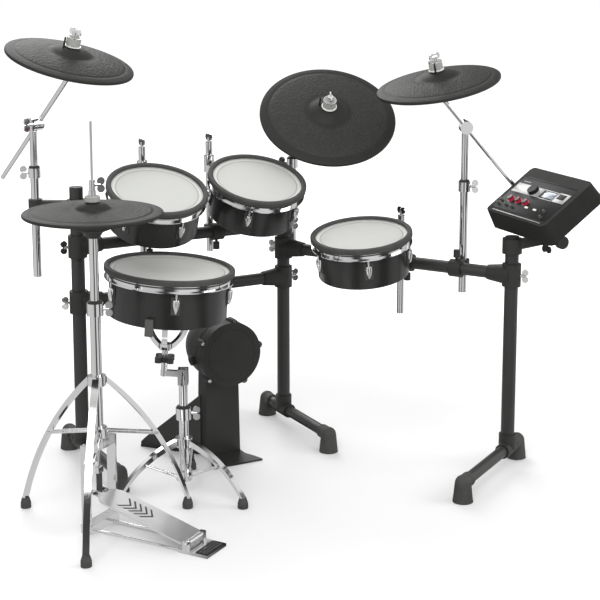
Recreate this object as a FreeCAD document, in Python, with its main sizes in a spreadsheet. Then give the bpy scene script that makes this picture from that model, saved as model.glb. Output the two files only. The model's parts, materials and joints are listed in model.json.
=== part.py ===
import FreeCAD, Part
import math
import os

import Sketcher
from FreeCAD import Placement, Rotation, Vector

# Electronic drum kit, in millimetres.
# +X is the drummer's right, +Y points away from the drummer, +Z is up and the floor is z = 0.
# Plan positions are measured from the left rack leg and shifted to the middle of the kit's box.

SIZES = {
    # where the kit's middle lies, seen from the left leg
    "middle_x": 419.24,
    "middle_y": -289.37,
    # clearances: seated pieces, pieces that slide or turn, pins in their holes
    "seat_gap": 0.15,
    "slip_gap": 0.35,
    "pin_gap": 0.06,
    # rack tubes
    "leg_radius": 18.0,
    "leg_wall": 1.6,
    # (tops above the upper bar and above the right arm)
    "leg_top": 156.0,
    "right_leg_top": 100.0,
    "middle_leg_x": 616.0,
    "right_leg_x": 984.0,
    "right_leg_y": -585.0,
    "cap_thick": 3.0,
    "cap_plug": 14.0,
    "foot_span": 367.0,
    "foot_tube_radius": 15.0,
    "foot_tube_height": 48.0,
    "foot_reach_far": 103.0,
    "right_foot_reach_far": 70.0,
    "tee_radius": 23.0,
    "tee_top": 88.0,
    "tee_length": 72.0,
    "boot_radius": 21.0,
    "boot_base_radius": 26.0,
    "boot_depth": 13.0,
    # rack bars and the clamps at their ends
    "bar_radius": 16.5,
    # (lower bar: below the upper bar; arm: below the foot of the upper bar's clamp)
    "upper_bar_height": 591.0,
    "lower_bar_height": 151.0,
    "arm_height": 37.0,
    "clamp_radius": 25.0,
    "clamp_height": 60.0,
    "taper_radius": 29.0,
    "taper_end_radius": 20.0,
    "taper_length": 66.0,
    "bar_insert": 34.0,
    # wing bolts and knobs
    "bolt_radius": 4.0,
    "bolt_length": 13.0,
    "wing_radius": 9.0,
    "wing_thick": 4.0,
    "wing_spread": 9.0,
    "knob_radius": 9.0,
    "knob_height": 20.0,
    "knob_stem": 6.0,
    # clamps that hold poles and posts on the rack
    "mount_wall": 7.0,
    "mount_height": 34.0,
    "post_barrel_height": 25.0,
    # cymbal poles and booms
    "pole_radius": 11.1,
    "pole_wall": 1.25,
    "upper_tube_radius": 9.5,
    "upper_tube_insert": 110.0,
    "collar_radius": 16.0,
    "collar_height": 26.0,
    "boom_radius": 6.0,
    "boom_disc_radius": 17.0,
    "boom_rod_half": 9.0,
    "boom_fixed_half": 7.0,
    "boom_pin_radius": 4.0,
    "boom_end_radius": 13.0,
    "tilter_height": 63.0,
    "stem_radius": 4.0,
    "ball_radius": 14.0,
    "felt_radius": 18.0,
    "felt_height": 22.0,
    "washer_radius": 21.0,
    "washer_height": 2.5,
    "washer_room": 1.2,
    # cymbal pads
    "crash_radius": 165.0,
    "ride_radius": 190.0,
    "bell_radius": 56.0,
    "bell_height": 15.4,
    "bow_drop": 18.0,
    "pad_thick": 7.0,
    "pad_edge": 10.0,
    "hub_hole": 8.4,
    "stop_pin_radius": 2.4,
    "stop_pin_height": 30.0,
    "stop_pin_offset": 27.0,
    # left crash: mount above the upper bar, pole from the mount, boom above the pole, pad above the boom
    "left_pole_x": -93.0,
    "left_pole_y": 57.0,
    "left_pole_bottom": 192.0,
    "left_pole_top": 100.0,
    "left_mount_height": 109.0,
    "left_boom_height": 115.0,
    "left_boom_tail": 225.0,
    "left_crash_x": -34.0,
    "left_crash_y": -96.0,
    "left_crash_z": 212.0,
    "left_lean_x": 0.143,
    "left_lean_y": -0.251,
    # ride: heights as for the left crash
    "ride_pole_x": 660.0,
    "ride_pole_y": 28.0,
    "ride_pole_bottom": 184.0,
    "ride_pole_top": 83.0,
    "ride_mount_height": 98.0,
    "ride_boom_height": 75.0,
    "ride_boom_tail": 70.0,
    "ride_x": 704.0,
    "ride_y": -106.0,
    "ride_z": 85.0,
    "ride_lean_x": -0.212,
    "ride_lean_y": -0.567,
    # right crash: pole from the arm, boom above the pole, pad above the boom
    "right_pole_x": 936.0,
    "right_pole_y": -430.0,
    "right_pole_bottom": 74.0,
    "right_pole_top": 228.0,
    "right_boom_height": 148.0,
    "right_boom_tail": 205.0,
    "right_crash_x": 859.0,
    "right_crash_y": -403.0,
    "right_crash_z": 151.0,
    "right_lean_x": -0.223,
    "right_lean_y": -0.037,
    # drums: the shell, and what stands outside it
    "tom_radius": 119.0,
    "tom_depth": 104.0,
    "snare_radius": 148.5,
    "snare_depth": 115.0,
    "shell_wall": 6.0,
    "shell_floor": 5.0,
    "head_thick": 0.8,
    "head_hoop_depth": 8.0,
    "head_hoop_width": 3.6,
    "hoop_wall": 2.2,
    "hoop_depth": 22.0,
    "hoop_flange": 7.0,
    "rim_width": 13.5,
    "rim_height": 10.0,
    "rim_skirt": 4.0,
    "rim_round": 3.4,
    "lug_radius": 6.6,
    "lug_height": 14.0,
    "lug_taper": 15.0,
    "lug_drop": 40.0,
    "rod_radius": 2.6,
    "sensor_radius": 22.0,
    # tom places: posts and hinges from the bar that carries them, head centres from the hinges
    "left_tom_x": 167.0,
    "left_tom_y": -149.0,
    "left_tom_z": -13.0,
    "left_post_x": 206.0,
    "right_tom_x": 456.0,
    "right_tom_y": -153.0,
    "right_tom_z": -11.0,
    "right_post_x": 406.0,
    "tom_post_y": 42.0,
    "tom_lean": 21.0,
    "floor_tom_x": 632.0,
    "floor_tom_y": -405.0,
    "floor_tom_z": 25.5,
    "floor_tom_lean": 9.0,
    "floor_post_x": 787.0,
    "floor_post_y": -353.0,
    "tom_post_bottom": 63.0,
    "tom_post_top": 245.0,
    "tom_hinge_height": 171.0,
    "floor_post_bottom": 132.0,
    "floor_post_top": 138.0,
    "floor_hinge_height": 80.0,
    "post_radius": 9.5,
    "bracket_radius": 14.0,
    "bracket_height": 46.0,
    "bracket_reach": 33.0,
    "floor_bracket_reach": 25.5,
    "ear_radius": 10.0,
    "ear_thick": 8.0,
    "tongue_thick": 12.0,
    # snare place
    "snare_x": 112.0,
    "snare_y": -349.0,
    "snare_z": 586.5,
    "snare_lean": 4.0,
    "snare_stand_x": 138.0,
    "snare_stand_y": -363.0,
    "snare_tube_bottom": 38.0,
    "snare_tube_top": 222.0,
    "snare_hinge_height": 318.0,
    "snare_upper_insert": 80.0,
    "snare_hub_drop": 90.0,
    "snare_foot_reach": 178.0,
    "snare_collar_height": 140.0,
    "arm_width": 14.0,
    "arm_bend": 80.0,
    "basket_core_radius": 15.0,
    "basket_knob_radius": 30.0,
    "basket_knob_drop": 31.0,
    "basket_reach": 55.0,
    # jack clip on the snare's side
    "clip_width": 20.0,
    "clip_height": 43.0,
    "clip_thick": 11.0,
    "clip_drop": 132.0,
    "clip_angle": 78.0,
    # stand tubes
    "stand_tube_radius": 12.7,
    "stand_tube_wall": 1.35,
    "stand_upper_radius": 11.0,
    "stand_upper_wall": 1.6,
    # hi-hat stand
    "hihat_x": -126.0,
    "hihat_y": -454.0,
    "hihat_foot_reach": 233.0,
    "hihat_leg_collar": 366.0,
    "hihat_tube_bottom": 196.0,
    "hihat_tube_top": 545.0,
    "hihat_upper_insert": 95.0,
    "hihat_seat_top": 751.5,
    "hihat_seat_radius": 44.0,
    "hihat_pad_height": 769.0,
    "hihat_rod_top": 985.0,
    "hihat_rod_bottom": 150.0,
    "hihat_rod_radius": 3.2,
    "hihat_tip_radius": 3.0,
    "clutch_radius": 9.0,
    "leg_width": 16.0,
    "leg_thick": 8.0,
    "brace_radius": 2.5,
    "tripod_foot_radius": 13.0,
    "tripod_foot_length": 34.0,
    # hi-hat pedal, along its own direction from the stand towards the heel
    "pedal_angle": -57.0,
    "pedal_hinge_reach": 268.0,
    "pedal_hinge_height": 20.0,
    "pedal_width": 84.0,
    "pedal_thick": 5.0,
    "pedal_slope": 14.5,
    "pedal_pin_radius": 4.0,
    "heel_length": 46.0,
    "frame_half_width": 53.0,
    "frame_plate_width": 25.0,
    "frame_plate_thick": 6.0,
    "frame_bar_height": 20.0,
    "belt_width": 20.0,
    "belt_thick": 3.0,
    "toe_pin_radius": 3.0,
    # kick tower
    "kick_x": 350.0,
    "kick_front_y": -242.0,
    "kick_pad_y": -205.0,
    "kick_pad_height": 297.0,
    "kick_pad_radius": 76.0,
    "kick_rim_radius": 87.0,
    "kick_housing_depth": 165.0,
    "kick_housing_back_radius": 58.0,
    "kick_shoulder": 84.0,
    "kick_lug_radius": 9.0,
    "kick_lug_length": 30.0,
    "kick_lug_turn": 8.0,
    "kick_jack_radius": 13.0,
    "kick_jack_length": 9.0,
    "kick_base_width": 146.0,
    "kick_base_length": 186.0,
    "kick_plate": 5.0,
    "kick_column_y": -148.0,
    "kick_column_width": 104.0,
    "kick_column_depth": 52.0,
    "kick_stay_x": 176.0,
    "kick_stay_y": 18.0,
    "kick_stay_height": 170.0,
    # module above the top of the right leg, and where its controls lie on the panel
    "module_x": 1012.0,
    "module_y": -651.0,
    "module_z": 118.0,
    "module_width": 264.0,
    "module_length": 179.0,
    "module_height": 58.0,
    "module_flare": 6.0,
    "module_slope": 34.7,
    "module_turn": -92.8,
    "module_pivot_drop": 86.0,
    "module_pivot_shift": 20.0,
    "module_pivot_radius": 6.0,
    "holder_drop": 48.0,
    "holder_knob_radius": 17.0,
    "dial_x": -30.0,
    "dial_y": 11.0,
    "knob_first_x": -80.0,
    "knob_pitch": 33.0,
    "knob_row_y": -33.0,
    "button_first_x": 7.0,
    "button_pitch": 37.0,
    "button_row_y": -47.0,
    "screen_x": 37.0,
    "screen_y": 11.0,
    "screen_width": 48.0,
    "screen_height": 25.0,
    "dial_radius": 15.0,
    "dial_height": 11.0,
    "small_knob_radius": 8.0,
    "small_knob_height": 9.0,
    "button_length": 11.0,
    "button_width": 5.0,
    "button_height": 3.0,
    "knob_shaft_radius": 3.0,
}

doc = FreeCAD.newDocument("drum_kit")
sheet = doc.addObject("Spreadsheet::Sheet", "sizes")
for row, (alias, number) in enumerate(SIZES.items(), start=1):
    sheet.set(f"A{row}", alias)
    sheet.set(f"B{row}", str(number))
    sheet.setAlias(f"B{row}", alias)
doc.recompute()


class Size:
    """A length that carries its number and the spreadsheet expression behind it."""

    def __init__(self, value, text):
        self.value = value
        self.text = text

    def joined(self, other, sign, value):
        return Size(value, f"({self.text} {sign} {as_size(other).text})")

    def __add__(self, other):
        return self.joined(other, "+", self.value + as_size(other).value)

    def __sub__(self, other):
        return self.joined(other, "-", self.value - as_size(other).value)

    def __mul__(self, other):
        return self.joined(other, "*", self.value * as_size(other).value)

    def __truediv__(self, other):
        return self.joined(other, "/", self.value / as_size(other).value)

    def __neg__(self):
        return Size(-self.value, f"(0 - {self.text})")

    def __radd__(self, other):
        return as_size(other) + self

    def __rsub__(self, other):
        return as_size(other) - self

    def __rmul__(self, other):
        return as_size(other) * self

    def __float__(self):
        return float(self.value)


def as_size(value):
    """Gives a plain number the form of a Size."""
    if isinstance(value, Size):
        return value
    return Size(float(value), repr(float(value)))


class Sheet:
    """Reads the driving dimensions from the spreadsheet by name."""

    def __getattr__(self, alias):
        return Size(float(sheet.get(alias)), f"sizes.{alias}")


S = Sheet()
UP = Vector(0, 0, 1)
NODES = {}


# Places

def plan(x, y, z=0.0):
    """A point of the kit, from its plan position seen from the left leg."""
    return Vector(float(x) - float(S.middle_x), float(y) - float(S.middle_y), float(z))


def frame(point, z_axis=UP, x_hint=Vector(1, 0, 0)):
    """A placement whose Z axis points along z_axis and whose X axis leans to x_hint."""
    z_axis = Vector(z_axis).normalize()
    across = z_axis.cross(Vector(x_hint))
    if across.Length < 1e-6:
        across = z_axis.cross(Vector(0, 1, 0))
    across.normalize()
    forward = across.cross(z_axis)
    return Placement(Vector(point), Rotation(forward, across, z_axis, "ZXY"))


def shifted(place, x=0.0, y=0.0, z=0.0):
    """The same orientation, moved along its own axes."""
    return place.multiply(Placement(Vector(float(x), float(y), float(z)), Rotation()))


def turned(place, axis, degrees):
    """The same point, turned about one of its own axes."""
    return place.multiply(Placement(Vector(), Rotation(axis, degrees)))


def unit(vector):
    """The vector at length one."""
    return Vector(vector).normalize()


def heading(degrees):
    """A level direction, by its angle from +X."""
    angle = math.radians(degrees)
    return Vector(math.cos(angle), math.sin(angle), 0)


# Shapes as objects of the document

def bind(item, prop, value):
    """Sets a property and ties it to the spreadsheet."""
    size = as_size(value)
    setattr(item, prop, size.value)
    if "sizes." in size.text:
        item.setExpression(prop, size.text)


def cylinder(name, radius, height, place):
    item = doc.addObject("Part::Cylinder", name)
    bind(item, "Radius", radius)
    bind(item, "Height", height)
    item.Placement = place
    return item


def cone(name, radius, end_radius, height, place):
    item = doc.addObject("Part::Cone", name)
    bind(item, "Radius1", radius)
    bind(item, "Radius2", end_radius)
    bind(item, "Height", height)
    item.Placement = place
    return item


def ball(name, radius, place):
    item = doc.addObject("Part::Sphere", name)
    bind(item, "Radius", radius)
    item.Placement = place
    return item


def block(name, length, width, height, place):
    """A box centred on the place's X and Y, standing on it in Z."""
    item = doc.addObject("Part::Box", name)
    bind(item, "Length", length)
    bind(item, "Width", width)
    bind(item, "Height", height)
    item.Placement = shifted(place, -float(length) / 2, -float(width) / 2)
    return item


def cut(name, base, *tools):
    """The base less each tool."""
    for number, tool in enumerate(tools):
        item = doc.addObject("Part::Cut", f"{name}_cut{number}")
        item.Base = base
        item.Tool = tool
        base = item
    return base


def fuse(name, *shapes):
    item = doc.addObject("Part::MultiFuse", name)
    item.Shapes = list(shapes)
    item.Refine = True
    return item


def rod(name, radius, start, end):
    """A solid round bar between two points."""
    return cylinder(name, radius, (end - start).Length, frame(start, end - start))


def tube(name, radius, wall, start, end):
    """A hollow round tube between two points."""
    outer = rod(f"{name}_outside", radius, start, end)
    inner = rod(f"{name}_inside", radius - wall, start, end)
    return cut(name, outer, inner)


def ring(name, radius, bore, height, place):
    """A round collar with a round hole."""
    outer = cylinder(f"{name}_outside", radius, height, place)
    inner = cylinder(f"{name}_bore", bore, height, place)
    return cut(name, outer, inner)


class Arc:
    """A round stretch of an outline, turning left (1) or right (-1)."""

    def __init__(self, radius, side):
        self.radius = as_size(radius)
        self.side = side

    def centre(self, start, end):
        """The arc's centre and the chord's left side."""
        chord = end - start
        half = chord.Length / 2
        left = Vector(-chord.y, chord.x, 0).normalize()
        height = math.sqrt(max(self.radius.value ** 2 - half * half, 0.0))
        return start + chord * 0.5 + left * (height * self.side), left

    def middle(self, start, end):
        """The point half way along the arc."""
        centre, left = self.centre(start, end)
        return centre - left * (self.side * self.radius.value)

    def geometry(self, start, end):
        """The arc as a sketch curve."""
        centre, _ = self.centre(start, end)
        radius = self.radius.value
        first, last = (start, end) if self.side > 0 else (end, start)
        angles = [math.atan2(p.y - centre.y, p.x - centre.x) for p in (first, last)]
        if angles[1] < angles[0]:
            angles[1] += 2 * math.pi
        circle = Part.Circle(centre, UP, radius)
        return Part.ArcOfCircle(circle, angles[0], angles[1])


def outline_sketch(body, name, role, outline):
    """Draws a closed outline of points and arcs, each point held by two dimensions."""
    plane = [item for item in body.Origin.OriginFeatures if item.Role == role][0]
    sketch = body.newObject("Sketcher::SketchObject", f"{name}_sketch")
    sketch.AttachmentSupport = (plane, [""])
    sketch.MapMode = "FlatFace"
    corners = []
    arcs = {}
    for item in outline:
        if isinstance(item, Arc):
            arcs[len(corners) - 1] = item
        else:
            corners.append((as_size(item[0]), as_size(item[1])))
    spots = [Vector(x.value, y.value, 0) for x, y in corners]
    ends = []
    for number, start in enumerate(spots):
        end = spots[(number + 1) % len(spots)]
        arc = arcs.get(number)
        if arc is None:
            sketch.addGeometry(Part.LineSegment(start, end), False)
        else:
            sketch.addGeometry(arc.geometry(start, end), False)
        ends.append((2, 1) if arc is not None and arc.side < 0 else (1, 2))
    for number in range(len(spots)):
        after = (number + 1) % len(spots)
        joint = Sketcher.Constraint("Coincident", number, ends[number][1], after, ends[after][0])
        sketch.addConstraint(joint)
    for number, corner in enumerate(corners):
        for kind, size in zip(("DistanceX", "DistanceY"), corner):
            held = Sketcher.Constraint(kind, -1, 1, number, ends[number][0], size.value)
            index = sketch.addConstraint(held)
            if "sizes." in size.text:
                sketch.setExpression(f"Constraints[{index}]", size.text)
    for number, arc in arcs.items():
        index = sketch.addConstraint(Sketcher.Constraint("Radius", number, arc.radius.value))
        if "sizes." in arc.radius.text:
            sketch.setExpression(f"Constraints[{index}]", arc.radius.text)
    return sketch


def revolve(name, outline, place):
    """A body turned about its own Z axis from an outline of radius and height."""
    body = doc.addObject("PartDesign::Body", name)
    turn = body.newObject("PartDesign::Revolution", f"{name}_turn")
    sketch = outline_sketch(body, name, "XZ_Plane", outline)
    turn.Profile = sketch
    turn.ReferenceAxis = (sketch, ["V_Axis"])
    turn.Angle = 360
    body.Tip = turn
    body.Placement = place
    return body


def plate(name, outline, thickness, place):
    """A body padded along its own Z axis from an outline in X and Y."""
    body = doc.addObject("PartDesign::Body", name)
    sketch = outline_sketch(body, name, "XY_Plane", outline)
    pad = body.newObject("PartDesign::Pad", f"{name}_pad")
    pad.Profile = sketch
    bind(pad, "Length", thickness)
    body.Tip = pad
    body.Placement = place
    return body


def add(node, *pieces):
    """Puts pieces into a named node."""
    NODES.setdefault(node, []).extend(pieces)


# Small hardware

def wing_bolt(name, point, direction, twist=0.0):
    """A threaded stem with a two-winged grip."""
    place = turned(frame(point, direction, UP), UP, twist)
    stem = cylinder(f"{name}_stem", S.bolt_radius, S.bolt_length, place)
    wings = [stem]
    for side in (-1, 1):
        spot = shifted(place, side * float(S.wing_spread), 0, S.bolt_length)
        flat = turned(spot, Vector(1, 0, 0), 90)
        wings.append(cylinder(f"{name}_wing", S.wing_radius, S.wing_thick,
                              shifted(flat, z=-float(S.wing_thick) / 2)))
    return fuse(name, *wings)


def knob(name, point, direction):
    """A round hand knob on a short stem."""
    place = frame(point, direction)
    stem = cylinder(f"{name}_stem", S.bolt_radius, S.knob_stem, place)
    grip = cylinder(f"{name}_grip", S.knob_radius, S.knob_height, shifted(place, z=S.knob_stem))
    return fuse(name, stem, grip)


# Rack

LEFT_LEG = plan(0, 0)
MIDDLE_LEG = plan(S.middle_leg_x, 0)
RIGHT_LEG = plan(S.right_leg_x, S.right_leg_y)
ARM = unit(RIGHT_LEG - MIDDLE_LEG)
ARM_INWARD = Vector(ARM.y, -ARM.x, 0)
BACK = Vector(0, 1, 0)
UPPER_BAR = S.upper_bar_height
LOWER_BAR = UPPER_BAR - S.lower_bar_height
ARM_BAR = UPPER_BAR - S.clamp_height / 2 - S.arm_height
LEG_TOP = UPPER_BAR + S.leg_top
RIGHT_LEG_TOP = ARM_BAR + S.right_leg_top


def rack_leg(name, spot, top, far_direction, far_reach):
    """One upright with its foot tube, T casting, rubber boots and cap."""
    foot_height = UP * float(S.foot_tube_height)
    leg_start = spot + foot_height + UP * float(S.foot_tube_radius + 1.5)
    add("rack_legs", tube(f"{name}_leg", S.leg_radius, S.leg_wall, leg_start, spot + UP * float(top)))
    cap_place = frame(spot + UP * float(top + S.seat_gap))
    cap = fuse(f"{name}_cap",
               cylinder(f"{name}_cap_top", S.leg_radius, S.cap_thick, cap_place),
               cylinder(f"{name}_cap_plug", S.leg_radius - S.leg_wall - S.seat_gap, S.cap_plug,
                        shifted(cap_place, z=-float(S.cap_plug))))
    add("rack_castings", cap)
    far = spot + foot_height + far_direction * float(far_reach)
    near = far - far_direction * float(S.foot_span)
    add("rack_foot_tubes", tube(f"{name}_foot", S.foot_tube_radius, S.leg_wall, near, far))
    sleeve = cylinder(f"{name}_sleeve", S.tee_radius, S.tee_top - S.foot_tube_height,
                      frame(spot + foot_height))
    saddle = cylinder(f"{name}_saddle", S.foot_tube_radius + 5, S.tee_length,
                      frame(spot + foot_height - far_direction * float(S.tee_length / 2), far_direction))
    tee = fuse(f"{name}_tee", sleeve, saddle)
    leg_bore = cylinder(f"{name}_leg_bore", S.leg_radius + S.seat_gap, S.tee_top, frame(leg_start))
    foot_bore = rod(f"{name}_foot_bore", S.foot_tube_radius + S.seat_gap, near, far)
    add("rack_castings", cut(f"{name}_casting", tee, leg_bore, foot_bore))
    for end, inward in ((near, far_direction), (far, -far_direction)):
        add("rubber_feet", rubber_boot(f"{name}_boot", end, inward))


def rubber_boot(name, tube_end, inward):
    """A domed rubber foot that takes the end of a foot tube."""
    floor = Vector(tube_end.x, tube_end.y, 0)
    dome = revolve(f"{name}_dome", [
        (0, 0), (S.boot_base_radius, 0), (S.boot_radius, S.foot_tube_height), Arc(S.boot_radius, 1),
        (0, S.foot_tube_height + S.boot_radius)], frame(floor))
    mouth = cylinder(f"{name}_mouth", S.foot_tube_radius + 4, S.boot_radius + S.boot_depth,
                     frame(tube_end, inward))
    solid = fuse(f"{name}_solid", dome, mouth)
    bore = cylinder(f"{name}_bore", S.foot_tube_radius + S.seat_gap, S.boot_base_radius * 3,
                    frame(tube_end - inward * float(S.seat_gap), inward))
    return cut(name, solid, bore)


def bar_clamp(name, leg_spot, height, direction):
    """A split collar on a leg with a tapered socket for a bar."""
    middle = leg_spot + UP * float(height)
    body = cylinder(f"{name}_body", S.clamp_radius, S.clamp_height,
                    frame(middle - UP * float(S.clamp_height / 2)))
    socket = cone(f"{name}_socket", S.taper_radius, S.taper_end_radius, S.taper_length,
                  frame(middle, direction))
    shell = fuse(f"{name}_shell", body, socket)
    leg_bore = cylinder(f"{name}_leg_bore", S.leg_radius + S.seat_gap, S.clamp_height * 2,
                        frame(middle - UP * float(S.clamp_height)))
    bar_bore = cylinder(f"{name}_bar_bore", S.bar_radius + S.seat_gap, S.taper_length,
                        frame(middle + direction * float(S.bar_insert - S.seat_gap), direction))
    add("rack_castings", cut(name, shell, leg_bore, bar_bore))


def rack_bar(name, start_spot, end_spot, height):
    """A level bar between two legs, with a clamp at each end."""
    direction = unit(end_spot - start_spot)
    lift = UP * float(height)
    insert = direction * float(S.bar_insert)
    add("rack_bars", tube(name, S.bar_radius, S.leg_wall, start_spot + lift + insert,
                          end_spot + lift - insert))
    for end, spot, way in (("start", start_spot, direction), ("end", end_spot, -direction)):
        bar_clamp(f"{name}_{end}_clamp", spot, height, way)
        point = spot + lift - way * float(S.clamp_radius + S.seat_gap)
        add("rack_wing_bolts", wing_bolt(f"{name}_{end}_bolt", point, -way))


def rack():
    foot_of_arm = -ARM_INWARD
    rack_leg("left", LEFT_LEG, LEG_TOP, BACK, S.foot_reach_far)
    rack_leg("middle", MIDDLE_LEG, LEG_TOP, BACK, S.foot_reach_far)
    rack_leg("right", RIGHT_LEG, RIGHT_LEG_TOP, foot_of_arm, S.right_foot_reach_far)
    rack_bar("upper_bar", LEFT_LEG, MIDDLE_LEG, UPPER_BAR)
    rack_bar("lower_bar", LEFT_LEG, MIDDLE_LEG, LOWER_BAR)
    rack_bar("right_arm", MIDDLE_LEG, RIGHT_LEG, ARM_BAR)


def mount_clamp(name, carrier, carrier_axis, carrier_radius, held, held_radius, knob_way, held_height):
    """A two-barrelled clamp that joins a rack tube and an upright tube beside it."""
    height = S.mount_height
    wall = S.mount_wall
    barrels = []
    for label, point, axis, radius, length in (
            ("carrier", carrier, carrier_axis, carrier_radius, height),
            ("held", held, UP, held_radius, held_height)):
        place = frame(point - axis * float(length / 2), axis)
        barrels.append(cylinder(f"{name}_{label}", radius + wall, length, place))
    span = Vector(held.x - carrier.x, held.y - carrier.y, 0)
    middle = carrier + (held - carrier) * 0.5
    web = block(f"{name}_web", span.Length, height * 0.7, held_height * 0.8,
                shifted(frame(middle, UP, span), z=-float(held_height * 0.4)))
    solid = fuse(f"{name}_solid", *barrels, web)
    bores = []
    for label, point, axis, radius in (("carrier", carrier, carrier_axis, carrier_radius),
                                       ("held", held, UP, held_radius)):
        bores.append(cylinder(f"{name}_{label}_bore", radius, height * 4,
                              frame(point - axis * float(height * 2), axis)))
    add("mount_clamps", cut(name, solid, *bores))
    grip = carrier + knob_way * float(carrier_radius + wall)
    add("mount_knobs", knob(f"{name}_knob", grip + knob_way * float(S.seat_gap), knob_way))


# Drums

def drum(prefix, radius, depth, place, lugs, first_lug):
    """A round pad: shell with a floor and sensor, mesh head, hoop with lugs, rubber rim."""
    head_edge = radius + S.head_hoop_width
    hoop_in = head_edge + S.slip_gap
    hoop_out = hoop_in + S.hoop_wall
    hoop_top = S.seat_gap + S.hoop_wall
    rim_out = radius + S.rim_width + 1
    shell = revolve(f"{prefix}_shell_wall", [
        (0, -depth), (radius - S.rim_round, -depth), Arc(S.rim_round, 1), (radius, S.rim_round - depth),
        (radius, -S.head_thick), (radius - S.shell_wall, -S.head_thick),
        (radius - S.shell_wall, S.shell_floor - depth), (0, S.shell_floor - depth)], place)
    sensor_top = -S.head_thick - S.slip_gap
    sensor = revolve(f"{prefix}_sensor", [
        (0, S.shell_floor - depth), (S.sensor_radius * 2, S.shell_floor - depth),
        (S.sensor_radius, sensor_top - S.sensor_radius), (S.sensor_radius / 2, sensor_top),
        (0, sensor_top)], place)
    rim_inner = radius + 1
    rim = revolve(f"{prefix}_rim", [
        (hoop_out + S.seat_gap, -S.rim_skirt), (rim_out, -S.rim_skirt),
        (rim_out, S.rim_height - S.rim_round), Arc(S.rim_round, 1),
        (rim_out - S.rim_round, S.rim_height), (rim_inner + S.rim_round, S.rim_height),
        Arc(S.rim_round, 1), (rim_inner, S.rim_height - S.rim_round), (rim_inner, hoop_top),
        (hoop_out + S.seat_gap, hoop_top)], place)
    add(f"{prefix}_shell", shell, sensor, rim)
    head = revolve(f"{prefix}_head_disc", [
        (0, -S.head_thick), (radius + S.slip_gap, -S.head_thick),
        (radius + S.slip_gap, -S.head_hoop_depth), (head_edge, -S.head_hoop_depth), (head_edge, 0),
        (0, 0)], place)
    add(f"{prefix}_head", head)
    hoop = revolve(f"{prefix}_hoop_ring", [
        (hoop_in, -S.hoop_depth), (hoop_out + S.hoop_flange, -S.hoop_depth),
        (hoop_out + S.hoop_flange, S.hoop_wall - S.hoop_depth),
        (hoop_out, S.hoop_wall - S.hoop_depth), (hoop_out, hoop_top), (rim_inner + 1, hoop_top),
        (rim_inner + 1, S.seat_gap), (hoop_in, S.seat_gap)], place)
    add(f"{prefix}_hoop", hoop)
    reach = radius + S.lug_radius + S.seat_gap
    for number in range(lugs):
        side = turned(place, UP, first_lug + 360.0 * number / lugs)
        spot = shifted(side, reach, 0, -float(S.lug_drop))
        barrel = cylinder(f"{prefix}_lug_barrel", S.lug_radius, S.lug_height,
                          shifted(spot, z=-float(S.lug_height)))
        drop = turned(shifted(spot, z=-float(S.lug_height)), Vector(1, 0, 0), 180)
        tail = cone(f"{prefix}_lug_tail", S.lug_radius, S.rod_radius, S.lug_taper, drop)
        screw = cylinder(f"{prefix}_lug_rod", S.rod_radius,
                         S.lug_drop - S.hoop_depth - S.seat_gap, spot)
        add(f"{prefix}_hoop", fuse(f"{prefix}_lug", barrel, tail, screw))


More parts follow.
